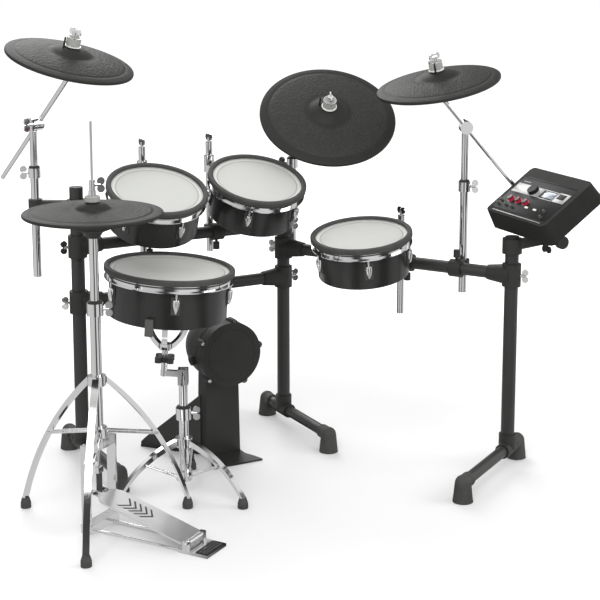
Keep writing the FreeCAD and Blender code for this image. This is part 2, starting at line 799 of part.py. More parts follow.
def tom(prefix, centre, lean, lean_way, post_spot, post_bottom, post_top, hinge_height, bracket_reach,
        first_lug):
    """A tom on its post, with a hinge between the post's bracket and the shell's arm."""
    axis = Rotation(UP.cross(lean_way), float(lean)).multVec(UP)
    outward = unit(Vector(post_spot.x - centre.x, post_spot.y - centre.y, 0))
    place = frame(centre, axis, outward)
    drum(prefix, S.tom_radius, S.tom_depth, place, 5, first_lug)
    side = UP.cross(outward)
    hinge = post_spot + UP * float(hinge_height) - outward * float(bracket_reach)
    post = rod(f"{prefix}_post_rod", S.post_radius, post_spot + UP * float(post_bottom),
               post_spot + UP * float(post_top))
    grip = cylinder(f"{prefix}_grip", S.bracket_radius, S.bracket_height,
                    frame(post_spot + UP * float(hinge_height - S.ear_radius)))
    ears = []
    gap = S.tongue_thick / 2 + S.slip_gap
    for way in (-1, 1):
        start = hinge + side * (way * float(gap + S.ear_thick / 2))
        inner = start - side * float(S.ear_thick / 2)
        ears.append(cylinder(f"{prefix}_ear", S.ear_radius, S.ear_thick, frame(inner, side)))
        reach = block(f"{prefix}_ear_arm", bracket_reach, S.ear_thick, S.ear_radius * 2,
                      shifted(frame(start + outward * float(bracket_reach / 2), UP, outward),
                              z=-float(S.ear_radius)))
        ears.append(reach)
    pin_length = S.tongue_thick + S.ear_thick * 2 + S.slip_gap * 2
    pin = cylinder(f"{prefix}_hinge_pin", S.boom_pin_radius, pin_length,
                   frame(hinge - side * float(pin_length / 2), side))
    add(f"{prefix}_post", fuse(f"{prefix}_bracket", post, grip, *ears, pin))
    wing_top = post_spot + UP * float(post_top + S.seat_gap)
    add(f"{prefix}_post", wing_bolt(f"{prefix}_wing_nut", wing_top, UP))
    flat = hinge - centre
    down = axis * flat.dot(axis)
    shell_side = centre + down + unit(flat - down) * float(S.tom_radius + S.seat_gap)
    arm_way = hinge - shell_side
    tongue = cylinder(f"{prefix}_tongue_eye", S.ear_radius, S.tongue_thick,
                      frame(hinge - side * float(S.tongue_thick / 2), side))
    arm = block(f"{prefix}_tongue_arm", S.ear_radius * 1.6, S.tongue_thick, arm_way.Length,
                frame(shell_side, arm_way, side.cross(arm_way)))
    foot = block(f"{prefix}_tongue_foot", S.ear_radius * 2.6, S.ear_radius * 2.4, S.ear_thick * 0.35,
                 frame(shell_side, unit(flat - down), axis))
    eye = cylinder(f"{prefix}_tongue_bore", S.boom_pin_radius + S.pin_gap, S.tongue_thick * 2,
                   frame(hinge - side * float(S.tongue_thick), side))
    skin = cylinder(f"{prefix}_tongue_seat", S.tom_radius + S.seat_gap, S.tom_depth * 2,
                    shifted(place, z=-float(S.tom_depth * 1.5)))
    clip = fuse(f"{prefix}_tongue_solid", tongue, arm, foot)
    add(f"{prefix}_hoop", cut(f"{prefix}_tongue", clip, eye, skin))
    return hinge, side


def toms():
    lift = UP * float(UPPER_BAR)
    hinge = UPPER_BAR + S.tom_hinge_height
    for prefix, x, y, z, post_x, first_lug in (
            ("left_tom", S.left_tom_x, S.left_tom_y, S.left_tom_z, S.left_post_x, 60),
            ("right_tom", S.right_tom_x, S.right_tom_y, S.right_tom_z, S.right_post_x, 60)):
        spot = plan(post_x, S.tom_post_y)
        tom(prefix, plan(x, y, hinge + z), S.tom_lean, -BACK, spot, UPPER_BAR - S.tom_post_bottom,
            UPPER_BAR + S.tom_post_top, hinge, S.bracket_reach, first_lug)
        carrier = plan(post_x, 0) + lift
        mount_clamp(f"{prefix}_mount", carrier, Vector(1, 0, 0), S.bar_radius + S.seat_gap,
                    spot + lift, S.post_radius + S.slip_gap, -UP, S.post_barrel_height)
    spot = plan(S.floor_post_x, S.floor_post_y)
    hinge = ARM_BAR + S.floor_hinge_height
    tom("floor_tom", plan(S.floor_tom_x, S.floor_tom_y, hinge + S.floor_tom_z), S.floor_tom_lean,
        ARM_INWARD, spot, ARM_BAR - S.floor_post_bottom, ARM_BAR + S.floor_post_top, hinge,
        S.floor_bracket_reach, 12)
    arm_lift = UP * float(ARM_BAR)
    offset = spot - MIDDLE_LEG
    carrier = MIDDLE_LEG + ARM * offset.dot(ARM) + arm_lift
    mount_clamp("floor_tom_mount", carrier, ARM, S.bar_radius + S.seat_gap, spot + arm_lift,
                S.post_radius + S.slip_gap, -UP, S.post_barrel_height)


# Cymbals

def pad_outline(radius):
    """The section of a cymbal pad about its rocking centre: bell, bow and thick edge."""
    top = S.ball_radius + 3.4
    bell_foot = top - S.bell_height
    edge_top = bell_foot - S.bow_drop
    bell_curve = (S.bell_radius * S.bell_radius + S.bell_height * S.bell_height) / (2 * S.bell_height)
    under = S.pad_thick * 0.8
    bow = radius * 4
    return [
        (S.hub_hole, top - under), (S.hub_hole, top), Arc(bell_curve, -1), (S.bell_radius, bell_foot),
        Arc(bow, -1), (radius - 5, edge_top), Arc(6.0, -1), (radius, edge_top - S.pad_edge / 2),
        Arc(6.0, -1), (radius - 5, edge_top - S.pad_edge), (radius - 16, edge_top - S.pad_thick),
        Arc(bow, 1), (S.bell_radius + 4, bell_foot - S.pad_thick), (S.bell_radius - 6, bell_foot - under),
        Arc(bell_curve - under, 1)]


def cymbal_pad(prefix, radius, place, pin_angle):
    """A rubber pad with its anti-turn pin."""
    add(f"{prefix}_pad", revolve(f"{prefix}_pad_disc", pad_outline(radius), place))
    turned_place = turned(place, UP, pin_angle)
    drop = S.bell_height * 0.25
    foot = shifted(turned_place, S.stop_pin_offset, 0, S.ball_radius + 3.4 - drop)
    pin = cylinder(f"{prefix}_pin_rod", S.stop_pin_radius, S.stop_pin_height, foot)
    trimmed = cut(f"{prefix}_stop_pin", pin, revolve(f"{prefix}_pin_seat", pad_outline(radius), place))
    add(f"{prefix}_pad", trimmed)


def boom_stand(prefix, pole, bottom, top, boom_height, tail, centre, lean, radius, pin_angle, bolt_way):
    """A pole with a telescoping tube, a tilting boom, a tilter and a rocking pad."""
    normal = Vector(lean[0], lean[1], 0)
    normal.z = math.sqrt(1 - normal.dot(normal))
    elbow = pole + UP * float(boom_height)
    pivot = centre - normal * float(S.tilter_height)
    offset = float(S.boom_rod_half + S.slip_gap + S.boom_fixed_half)
    across = unit(UP.cross(pivot - elbow))
    twist = across
    for _ in range(6):
        line = unit((pivot + twist * offset) - (elbow + across * offset))
        twist = unit(line.cross(normal))
        if twist.dot(across) < 0:
            twist = -twist
    start = elbow + across * offset - line * float(tail)
    end = pivot + twist * offset
    # lower pole with its height collar
    add("lower_tubes", tube(f"{prefix}_pole", S.pole_radius, S.pole_wall, pole + UP * float(bottom),
                            pole + UP * float(top)))
    collar_foot = pole + UP * float(top - S.collar_height)
    add("stand_collars", ring(f"{prefix}_collar", S.collar_radius, S.pole_radius + S.seat_gap,
                              S.collar_height, frame(collar_foot)))
    add("stand_collars", wing_bolt(f"{prefix}_collar_bolt",
                                   collar_foot + UP * float(S.collar_height / 2)
                                   + bolt_way * float(S.collar_radius + S.seat_gap), bolt_way))
    # upper tube with the fixed half of the boom clamp
    disc = cylinder(f"{prefix}_fixed_disc", S.boom_disc_radius, S.boom_fixed_half * 2,
                    frame(elbow - across * float(S.boom_fixed_half), across))
    shoulder = elbow - UP * float(S.boom_disc_radius + S.slip_gap * 2)
    neck = rod(f"{prefix}_neck", S.upper_tube_radius, pole + UP * float(top - S.upper_tube_insert), shoulder)
    web = block(f"{prefix}_web", S.boom_fixed_half * 2, S.upper_tube_radius * 1.6,
                S.boom_disc_radius, frame(shoulder - UP, UP, across))
    upper = fuse(f"{prefix}_upper_solid", disc, neck, web)
    pin_hole = cylinder(f"{prefix}_pin_hole", S.boom_pin_radius + S.pin_gap, S.boom_fixed_half * 4,
                        frame(elbow - across * float(S.boom_fixed_half * 2), across))
    bolt = wing_bolt(f"{prefix}_boom_bolt",
                     elbow - across * float(S.boom_fixed_half + S.seat_gap), -across)
    add(f"{prefix}_upper_tube", cut(f"{prefix}_upper", upper, pin_hole), bolt)
    # boom rod with the turning halves of both clamps
    half = S.boom_rod_half
    grip = cylinder(f"{prefix}_turning_disc", S.boom_disc_radius, half * 2,
                    frame(elbow + across * (offset - float(half)), across))
    pin = cylinder(f"{prefix}_boom_pin", S.boom_pin_radius, S.boom_fixed_half * 2 + S.slip_gap + half,
                   frame(elbow - across * float(S.boom_fixed_half), across))
    knuckle = cylinder(f"{prefix}_knuckle", S.boom_end_radius, half * 2,
                       frame(pivot + twist * (offset - float(half)), twist))
    knuckle_pin = cylinder(f"{prefix}_knuckle_pin", S.boom_pin_radius,
                           S.boom_fixed_half * 2 + S.slip_gap + half,
                           frame(pivot - twist * float(S.boom_fixed_half), twist))
    bar = rod(f"{prefix}_boom_bar", S.boom_radius, start, end)
    add(f"{prefix}_boom", fuse(f"{prefix}_boom_rod", bar, grip, pin, knuckle, knuckle_pin))
    # tilter: hinge disc, stem, seat for the pad, then washer, felt and wing nut above it
    axis_place = frame(pivot, normal, twist)
    seat_height = S.tilter_height - S.ball_radius - 4
    pad_top = seat_height + S.ball_radius + 3.4
    eye = cylinder(f"{prefix}_tilter_eye", S.boom_end_radius, S.boom_fixed_half * 2,
                   frame(pivot - twist * float(S.boom_fixed_half), twist))
    washer_foot = pad_top + S.washer_room
    felt_foot = washer_foot + S.washer_height + S.seat_gap
    nut_foot = felt_foot + S.felt_height + S.seat_gap
    stem = cylinder(f"{prefix}_tilter_stem", S.stem_radius, nut_foot + 4, axis_place)
    foot = cylinder(f"{prefix}_tilter_foot", S.stem_radius * 1.8, seat_height, axis_place)
    seat = ball(f"{prefix}_tilter_seat", S.ball_radius, shifted(axis_place, z=seat_height))
    tilter = fuse(f"{prefix}_tilter_solid", eye, stem, foot, seat)
    eye_hole = cylinder(f"{prefix}_eye_hole", S.boom_pin_radius + S.pin_gap, S.boom_fixed_half * 4,
                        frame(pivot - twist * float(S.boom_fixed_half * 2), twist))
    bore = S.stem_radius + S.seat_gap
    washer = ring(f"{prefix}_washer", S.washer_radius, bore, S.washer_height,
                  shifted(axis_place, z=washer_foot))
    felt = ring(f"{prefix}_felt", S.felt_radius, bore, S.felt_height, shifted(axis_place, z=felt_foot))
    nut_place = shifted(axis_place, z=nut_foot)
    nut = wing_bolt(f"{prefix}_nut", nut_place.Base, normal)
    stem_hole = cylinder(f"{prefix}_nut_hole", bore, S.bolt_length * 0.6, nut_place)
    cap = cylinder(f"{prefix}_nut_base", S.stem_radius * 2, S.bolt_length, nut_place)
    add(f"{prefix}_tilter", cut(f"{prefix}_tilter_body", tilter, eye_hole), washer, felt,
        cut(f"{prefix}_wing_nut", fuse(f"{prefix}_nut_solid", nut, cap), stem_hole))
    cymbal_pad(prefix, radius, shifted(axis_place, z=seat_height), pin_angle)


def cymbals():
    left_pole = plan(S.left_pole_x, S.left_pole_y)
    mount = UPPER_BAR + S.left_mount_height
    top = mount + S.left_pole_top
    boom = top + S.left_boom_height
    boom_stand("left_crash", left_pole, mount - S.left_pole_bottom, top, boom, S.left_boom_tail,
               plan(S.left_crash_x, S.left_crash_y, boom + S.left_crash_z),
               (S.left_lean_x.value, S.left_lean_y.value), S.crash_radius, 180, heading(152))
    lift = UP * float(mount)
    mount_clamp("left_crash_mount", LEFT_LEG + lift, UP, S.leg_radius + S.seat_gap, left_pole + lift,
                S.pole_radius + S.seat_gap, Vector(0, -1, 0), S.mount_height)
    ride_pole = plan(S.ride_pole_x, S.ride_pole_y)
    mount = UPPER_BAR + S.ride_mount_height
    top = mount + S.ride_pole_top
    boom = top + S.ride_boom_height
    boom_stand("ride", ride_pole, mount - S.ride_pole_bottom, top, boom, S.ride_boom_tail,
               plan(S.ride_x, S.ride_y, boom + S.ride_z),
               (S.ride_lean_x.value, S.ride_lean_y.value), S.ride_radius, 90, heading(152))
    lift = UP * float(mount)
    mount_clamp("ride_mount", MIDDLE_LEG + lift, UP, S.leg_radius + S.seat_gap, ride_pole + lift,
                S.pole_radius + S.seat_gap, Vector(0, -1, 0), S.mount_height)
    right_pole = plan(S.right_pole_x, S.right_pole_y)
    top = ARM_BAR + S.right_pole_top
    boom = top + S.right_boom_height
    boom_stand("right_crash", right_pole, ARM_BAR - S.right_pole_bottom, top, boom, S.right_boom_tail,
               plan(S.right_crash_x, S.right_crash_y, boom + S.right_crash_z),
               (S.right_lean_x.value, S.right_lean_y.value), S.crash_radius, 0, heading(-28))
    lift = UP * float(ARM_BAR)
    carrier = MIDDLE_LEG + ARM * (right_pole - MIDDLE_LEG).dot(ARM) + lift
    mount_clamp("right_crash_mount", carrier, ARM, S.bar_radius + S.seat_gap, right_pole + lift,
                S.pole_radius + S.seat_gap, UP, S.mount_height)


# Tripods

def tripod(prefix, spot, collar_height, brace_height, reach, first_angle):
    """Three bowed flat legs on a collar, with braces to a lower collar and rubber feet."""
    tube_radius = S.stand_tube_radius
    hub_radius = tube_radius + 9
    for label, height in (("upper", collar_height), ("lower", brace_height)):
        add("stand_collars", ring(f"{prefix}_{label}_hub", hub_radius, tube_radius + S.seat_gap, 24,
                                  frame(spot + UP * (float(height) - 12))))
    foot = S.tripod_foot_radius
    start = hub_radius + S.seat_gap
    rise = as_size(collar_height)
    thick = S.leg_thick
    for number in range(3):
        way = heading(first_angle + 120 * number)
        side = UP.cross(way)
        stand = frame(spot - side * float(S.leg_width / 2), side, way)
        upright = Placement(stand.Base, Rotation(way, UP, -side, "ZXY"))
        upright.Base = spot + side * float(S.leg_width / 2)
        bow = rise * 2
        leg = plate(f"{prefix}_leg", [
            (start, rise + thick), Arc(bow, -1), (reach + thick / 2, foot * 2), (reach - thick / 2, foot * 2),
            Arc(bow - thick, 1), (start, rise - thick)], S.leg_width, upright)
        add("tripod_legs", leg)
        ground = spot + way * float(reach)
        shoe = revolve(f"{prefix}_shoe", [
            (0, 0), (foot, 0), (foot, foot), (foot * 0.7, foot * 2 - S.seat_gap),
            (0, foot * 2 - S.seat_gap)], frame(ground))
        add("rubber_feet", shoe)
        spine = Arc(bow - thick / 2, -1)
        knee = spine.middle(Vector(start.value, rise.value, 0), Vector(float(reach), float(foot * 2), 0))
        brace_end = spot + way * knee.x + UP * knee.y
        beside = float(S.leg_width / 2 + S.seat_gap + S.brace_radius)
        root = math.sqrt(float(hub_radius + S.brace_radius + S.seat_gap) ** 2 - beside ** 2)
        brace_start = spot + way * root + UP * float(brace_height)
        for sign in (-1, 1):
            shift = side * (sign * beside)
            add("tripod_braces", rod(f"{prefix}_brace", S.brace_radius, brace_start + shift,
                                     brace_end + shift))


# Hi-hat

HIHAT = plan(S.hihat_x, S.hihat_y)
PEDAL = heading(S.pedal_angle.value)
PEDAL_SIDE = UP.cross(PEDAL)


def pedal_point(x, y, z):
    """A point of the pedal: along it from the stand, across it, and up."""
    return HIHAT + PEDAL * float(x) + PEDAL_SIDE * float(y) + UP * float(z)


def hihat_stand():
    radius = S.stand_tube_radius
    add("lower_tubes", tube("hihat_tube", radius, S.stand_tube_wall, HIHAT + UP * float(S.hihat_tube_bottom),
                            HIHAT + UP * float(S.hihat_tube_top)))
    tripod("hihat", HIHAT, S.hihat_leg_collar, S.hihat_tube_bottom + 42, S.hihat_foot_reach, 1)
    collar = HIHAT + UP * float(S.hihat_tube_top - 20)
    add("stand_collars", ring("hihat_height_collar", radius + 7, radius + S.seat_gap, 30, frame(collar)))
    right = heading(-28)
    add("stand_collars", wing_bolt("hihat_height_bolt", collar + UP * 15
                                   + right * float(radius + 7 + S.seat_gap), right))
    start = HIHAT + UP * float(S.hihat_tube_top - S.hihat_upper_insert)
    seat_foot = S.hihat_seat_top - 40
    add("hihat_upper_tube", tube("hihat_upper", S.stand_upper_radius, S.stand_upper_wall, start,
                                 HIHAT + UP * float(seat_foot)))
    hole = S.hihat_rod_radius + S.slip_gap
    add("hihat_seat", revolve("hihat_seat_cup", [
        (hole, seat_foot + S.seat_gap), (S.stand_upper_radius + 4, seat_foot + S.seat_gap),
        (S.hihat_seat_radius * 0.55, S.hihat_seat_top - 26),
        (S.hihat_seat_radius, S.hihat_seat_top - 18), (S.hihat_seat_radius, S.hihat_seat_top - 4),
        (S.hihat_seat_radius - 4, S.hihat_seat_top), (hole, S.hihat_seat_top)], frame(HIHAT)))


def hihat_rod():
    """The pull rod with its clutch, the belt below it and the pad that it carries."""
    bottom = HIHAT + UP * float(S.hihat_rod_bottom)
    top = HIHAT + UP * float(S.hihat_rod_top)
    radius = S.hihat_rod_radius
    pad_top = S.hihat_pad_height + 26
    bore = radius + S.seat_gap
    step = float(pad_top) + 53 + float(S.seat_gap)
    lower = rod("hihat_lower_rod", radius, bottom, HIHAT + UP * step)
    shoulder = cone("hihat_rod_shoulder", radius, S.hihat_tip_radius, 2, frame(HIHAT + UP * step))
    tip = rod("hihat_rod_tip", S.hihat_tip_radius, HIHAT + UP * (step + 2), top)
    add("hihat_rod", fuse("hihat_pull_rod", lower, shoulder, tip))
    link = block("hihat_link", 12, S.belt_width, 14, frame(bottom - UP * (14 + float(S.seat_gap)), UP, PEDAL))
    add("hihat_rod", link)
    add("hihat_rod", ring("hihat_clutch_nut", S.clutch_radius, bore, 12,
                          frame(HIHAT + UP * (float(pad_top) + 16))))
    add("hihat_rod", ring("hihat_clutch_body", S.clutch_radius * 0.85, bore, 24,
                          frame(HIHAT + UP * (float(pad_top) + 28 + float(S.seat_gap)))))
    right = heading(-28)
    add("hihat_rod", wing_bolt("hihat_clutch_bolt", HIHAT + UP * (float(pad_top) + 42)
                               + right * float(S.clutch_radius * 0.85 + S.seat_gap), right))
    felt = ring("hihat_felt", S.felt_radius, bore, 14, frame(HIHAT + UP * (float(pad_top) + 2)))
    bell = S.bell_radius * 0.8
    outer = S.crash_radius
    edge = S.hihat_pad_height
    disc = revolve("hihat_pad_disc", [
        (bore, edge + 4), (bore, pad_top), Arc(90.0, -1), (bell, pad_top - 14), Arc(900.0, -1),
        (outer - 5, edge + 4), Arc(6.0, -1), (outer, edge), Arc(6.0, -1), (outer - 5, edge - 5),
        (outer - 18, edge - 4), (S.hihat_seat_radius, edge + 4)], frame(HIHAT))
    add("hihat_pad", disc, felt)
    toe = pedal_toe()
    strap_top = S.hihat_rod_bottom - 14 - S.seat_gap * 2
    strap_bottom = toe.z - 12
    length = strap_top - strap_bottom
    strap = block("hihat_strap", S.belt_thick, S.belt_width, length,
                  frame(HIHAT + UP * strap_bottom, UP, PEDAL))
    pin = cylinder("hihat_toe_pin", S.toe_pin_radius, S.belt_width + 26,
                   frame(HIHAT + UP * toe.z - PEDAL_SIDE * (float(S.belt_width) / 2 + 13), PEDAL_SIDE))
    add("hihat_belt", fuse("hihat_belt_solid", strap, pin))


def pedal_toe():
    """Where the toe pin crosses the stand's axis."""
    slope = math.radians(S.pedal_slope.value)
    rise = float(S.pedal_hinge_reach) * math.tan(slope)
    return HIHAT + UP * (float(S.pedal_hinge_height) + rise)


def hihat_pedal():
    slope = S.pedal_slope.value
    hinge = pedal_point(S.pedal_hinge_reach, 0, S.pedal_hinge_height)
    toward = unit(pedal_toe() - hinge)
    normal = toward.cross(PEDAL_SIDE)
    if normal.z < 0:
        normal = -normal
    board = frame(hinge, normal, toward)
    half = S.pedal_width / 2
    length = S.pedal_hinge_reach / math.cos(math.radians(slope))
    toe_half = half * 0.62
    start = S.pedal_pin_radius + 5
    sheet_metal = plate("footboard_sheet", [
        (start, -half), (length * 0.78, -half), Arc(half, 1), (length - 16, -toe_half),
        (length - 16, toe_half), Arc(half, 1), (length * 0.78, half), (start, half)],
        S.pedal_thick, shifted(board, z=-float(S.pedal_thick / 2)))
    barrel = cylinder("footboard_barrel", S.pedal_pin_radius + 4, S.pedal_width - 30,
                      frame(hinge - PEDAL_SIDE * float(half - 15), PEDAL_SIDE))
    tongue = block("footboard_tongue", start + 4, S.pedal_width - 30, S.pedal_thick,
                   shifted(board, float(start + 4) / 2, 0, -float(S.pedal_thick / 2)))
    pin_bore = cylinder("footboard_bore", S.pedal_pin_radius + S.pin_gap, S.pedal_width * 2,
                        frame(hinge - PEDAL_SIDE * float(S.pedal_width), PEDAL_SIDE))
    ears = []
    for sign in (-1, 1):
        middle = sign * float(S.belt_width / 2 + 6)
        ear = block("footboard_ear", 34, 5, 14, shifted(board, float(length) - 1, middle, -7))
        ears.append(ear)
    slot = block("footboard_slot", 17, S.belt_width * 3, S.toe_pin_radius * 2 + 1.2,
                 shifted(board, float(length), 0, -float(S.toe_pin_radius) - 0.6))
    solid = fuse("footboard_solid", sheet_metal, barrel, tongue, *ears)
    add("hihat_footboard", cut("footboard", solid, pin_bore, slot))
    # heel plate with the hinge pin, then the frame around the rod
    heel_top = S.pedal_hinge_height - S.pedal_pin_radius - 9
    heel_front = S.pedal_hinge_reach - 18
    frame_half = S.frame_plate_width / 2 + 3
    heel = block("heel_plate", S.heel_length + 34, S.pedal_width, heel_top,
                 frame(pedal_point(heel_front + S.heel_length / 2 + 17, 0, 0), UP, PEDAL))
    posts = []
    for sign in (-1, 1):
        across = sign * float(half - 6)
        posts.append(block("heel_post", 14, 11, S.pedal_hinge_height - heel_top + S.pedal_pin_radius + 4,
                           frame(pedal_point(S.pedal_hinge_reach, across, heel_top), UP, PEDAL)))
    pin = cylinder("heel_pin", S.pedal_pin_radius, S.pedal_width,
                   frame(hinge - PEDAL_SIDE * float(half), PEDAL_SIDE))
    add("hihat_pedal_base", fuse("heel", heel, pin, *posts))
    plates = S.hihat_tube_bottom - S.frame_bar_height
    for sign in (-1, 1):
        across = sign * float(S.frame_half_width)
        add("hihat_pedal_base", block(
            "frame_side", S.frame_plate_width, S.frame_plate_thick, plates - S.seat_gap * 2,
            frame(pedal_point(0, across, S.frame_bar_height + S.seat_gap), UP, PEDAL)))
        rail = sign * float(half - 8)
        add("hihat_pedal_base", rod("radius_rod", 3.0,
                                    pedal_point(frame_half + S.seat_gap, rail, 3.6),
                                    pedal_point(heel_front - S.seat_gap, rail, 3.6)))
    width = S.frame_half_width * 2 + S.frame_plate_thick
    add("hihat_pedal_base", block("frame_bar", frame_half * 2, width, S.frame_bar_height,
                                  frame(pedal_point(0, 0, 0), UP, PEDAL)))
    head = block("frame_head", S.frame_plate_width, width, 22,
                 frame(pedal_point(0, 0, S.hihat_tube_bottom), UP, PEDAL))
    socket = cylinder("frame_socket", S.stand_tube_radius + S.seat_gap, 60,
                      frame(pedal_point(0, 0, S.hihat_tube_bottom - S.seat_gap)))
    rod_hole = cylinder("frame_rod_hole", S.hihat_rod_radius + S.slip_gap, 200,
                        frame(pedal_point(0, 0, S.hihat_tube_bottom - 100)))
    add("hihat_pedal_base", cut("frame_casting", head, socket, rod_hole))


# Snare stand and drum

SNARE_STAND = plan(S.snare_stand_x, S.snare_stand_y)
SNARE_WAY = heading(152)


def snare():
    side = UP.cross(SNARE_WAY)
    lean_way = -SNARE_WAY
    axis = Rotation(UP.cross(lean_way), S.snare_lean.value).multVec(UP)
    centre = plan(S.snare_x, S.snare_y, S.snare_z)
    place = frame(centre, axis, SNARE_WAY)
    drum("snare", S.snare_radius, S.snare_depth, place, 5, 29)
    side_place = turned(place, UP, S.clip_angle.value)
    box = block("snare_clip_box", S.clip_thick * 2, S.clip_width, S.clip_height,
                shifted(side_place, S.snare_radius, 0, -float(S.clip_drop)))
    wall = cylinder("snare_clip_seat", S.snare_radius + S.seat_gap, S.clip_drop * 2,
                    shifted(place, z=-float(S.clip_drop * 2)))
    add("snare_shell", cut("snare_clip", box, wall))
    radius = S.stand_tube_radius
    add("lower_tubes", tube("snare_tube", radius, S.stand_tube_wall,
                            SNARE_STAND + UP * float(S.snare_tube_bottom),
                            SNARE_STAND + UP * float(S.snare_tube_top)))
    tripod("snare", SNARE_STAND, S.snare_collar_height, S.snare_tube_bottom + 14, S.snare_foot_reach, -60)
    collar = SNARE_STAND + UP * float(S.snare_tube_top - 22)
    add("stand_collars", ring("snare_height_collar", radius + 7, radius + S.seat_gap, 30, frame(collar)))
    add("stand_collars", wing_bolt("snare_height_bolt", collar + UP * 15
                                   - SNARE_WAY * float(radius + 7 + S.seat_gap), -SNARE_WAY))
    hinge = SNARE_STAND + UP * float(S.snare_hinge_height)
    upper = rod("snare_upper", S.stand_upper_radius,
                SNARE_STAND + UP * float(S.snare_tube_top - S.snare_upper_insert), hinge - UP * 14)
    gap = S.tongue_thick / 2 + S.slip_gap
    cheeks = []
    for sign in (-1, 1):
        middle = hinge + side * (sign * float(gap + S.ear_thick / 2))
        cheeks.append(block("snare_cheek", 26, S.ear_thick, 40,
                            frame(middle - UP * 26, UP, SNARE_WAY)))
    yoke = block("snare_yoke", 26, float(gap + S.ear_thick) * 2, 10, frame(hinge - UP * 26, UP, SNARE_WAY))
    pin_length = S.tongue_thick + S.ear_thick * 2 + S.slip_gap * 2
    pin = cylinder("snare_hinge_pin", S.boom_pin_radius, pin_length,
                   frame(hinge - side * float(pin_length / 2), side))
    lever = rod("snare_lever", 3.5, hinge + side * float(pin_length / 2 - 1) + UP * 6,
                hinge + side * float(pin_length / 2 + 26) - UP * 18)
    add("snare_stand_upper", fuse("snare_upper_solid", upper, yoke, pin, lever, *cheeks))
    basket(hinge, side, place)


def basket(hinge, side, drum_place):
    """The tilting tongue, the hub with three arms under the drum, and the clamp knob."""
    axis = drum_place.Rotation.multVec(UP)
    floor = drum_place.Base - axis * float(S.snare_depth + S.seat_gap)
    hub = floor - axis * float(S.snare_hub_drop)
    tongue = cylinder("basket_tongue", S.ear_radius, S.tongue_thick,
                      frame(hinge - side * float(S.tongue_thick / 2), side))
    offset = (hub - hinge)
    foot = hub - axis * offset.dot(axis)
    crank = block("basket_crank", S.ear_radius * 1.5, S.tongue_thick, (foot - hinge).Length + 8,
                  frame(hinge, foot - hinge, axis))
    post = rod("basket_post", 8.0, foot - axis * 8, hub)
    core = cylinder("basket_core", S.basket_core_radius, 16, frame(hub, axis))
    eye = cylinder("basket_eye", S.boom_pin_radius + S.pin_gap, S.tongue_thick * 2,
                   frame(hinge - side * float(S.tongue_thick), side))
    solid = fuse("basket_solid", tongue, crank, post, core)
    add("snare_basket", cut("basket", solid, eye))
    start = S.basket_core_radius + S.seat_gap
    reach = S.basket_reach
    rise = S.snare_hub_drop - S.seat_gap
    for number in range(3):
        way = drum_place.Rotation.multVec(heading(90 + 120 * number))
        across = way.cross(axis)
        arm = plate("basket_arm", [
            (start, 1), Arc(S.arm_bend, 1), (reach + 6, rise), (reach - 6, rise),
            Arc(S.arm_bend - 12, -1), (start, 14)], S.arm_width,
            Placement(hub - across * float(S.arm_width / 2), Rotation(way, axis, across, "ZXY")))
        add("snare_basket", arm)
    lobes = [cylinder("basket_knob_core", 15.0, 14, frame(hub - axis * float(S.basket_knob_drop), axis))]
    for number in range(4):
        way = drum_place.Rotation.multVec(heading(45 + 90 * number))
        lobes.append(cylinder("basket_knob_lobe", 9.0, 14,
                              frame(hub - axis * float(S.basket_knob_drop)
                                    + way * float(S.basket_knob_radius - 9), axis)))
    hole = cylinder("basket_knob_hole", 8.0 + S.seat_gap, 40, frame(hub - axis * float(S.basket_knob_drop + 10), axis))
    add("snare_basket", cut("basket_knob", fuse("basket_knob_solid", *lobes), hole))


# Kick tower

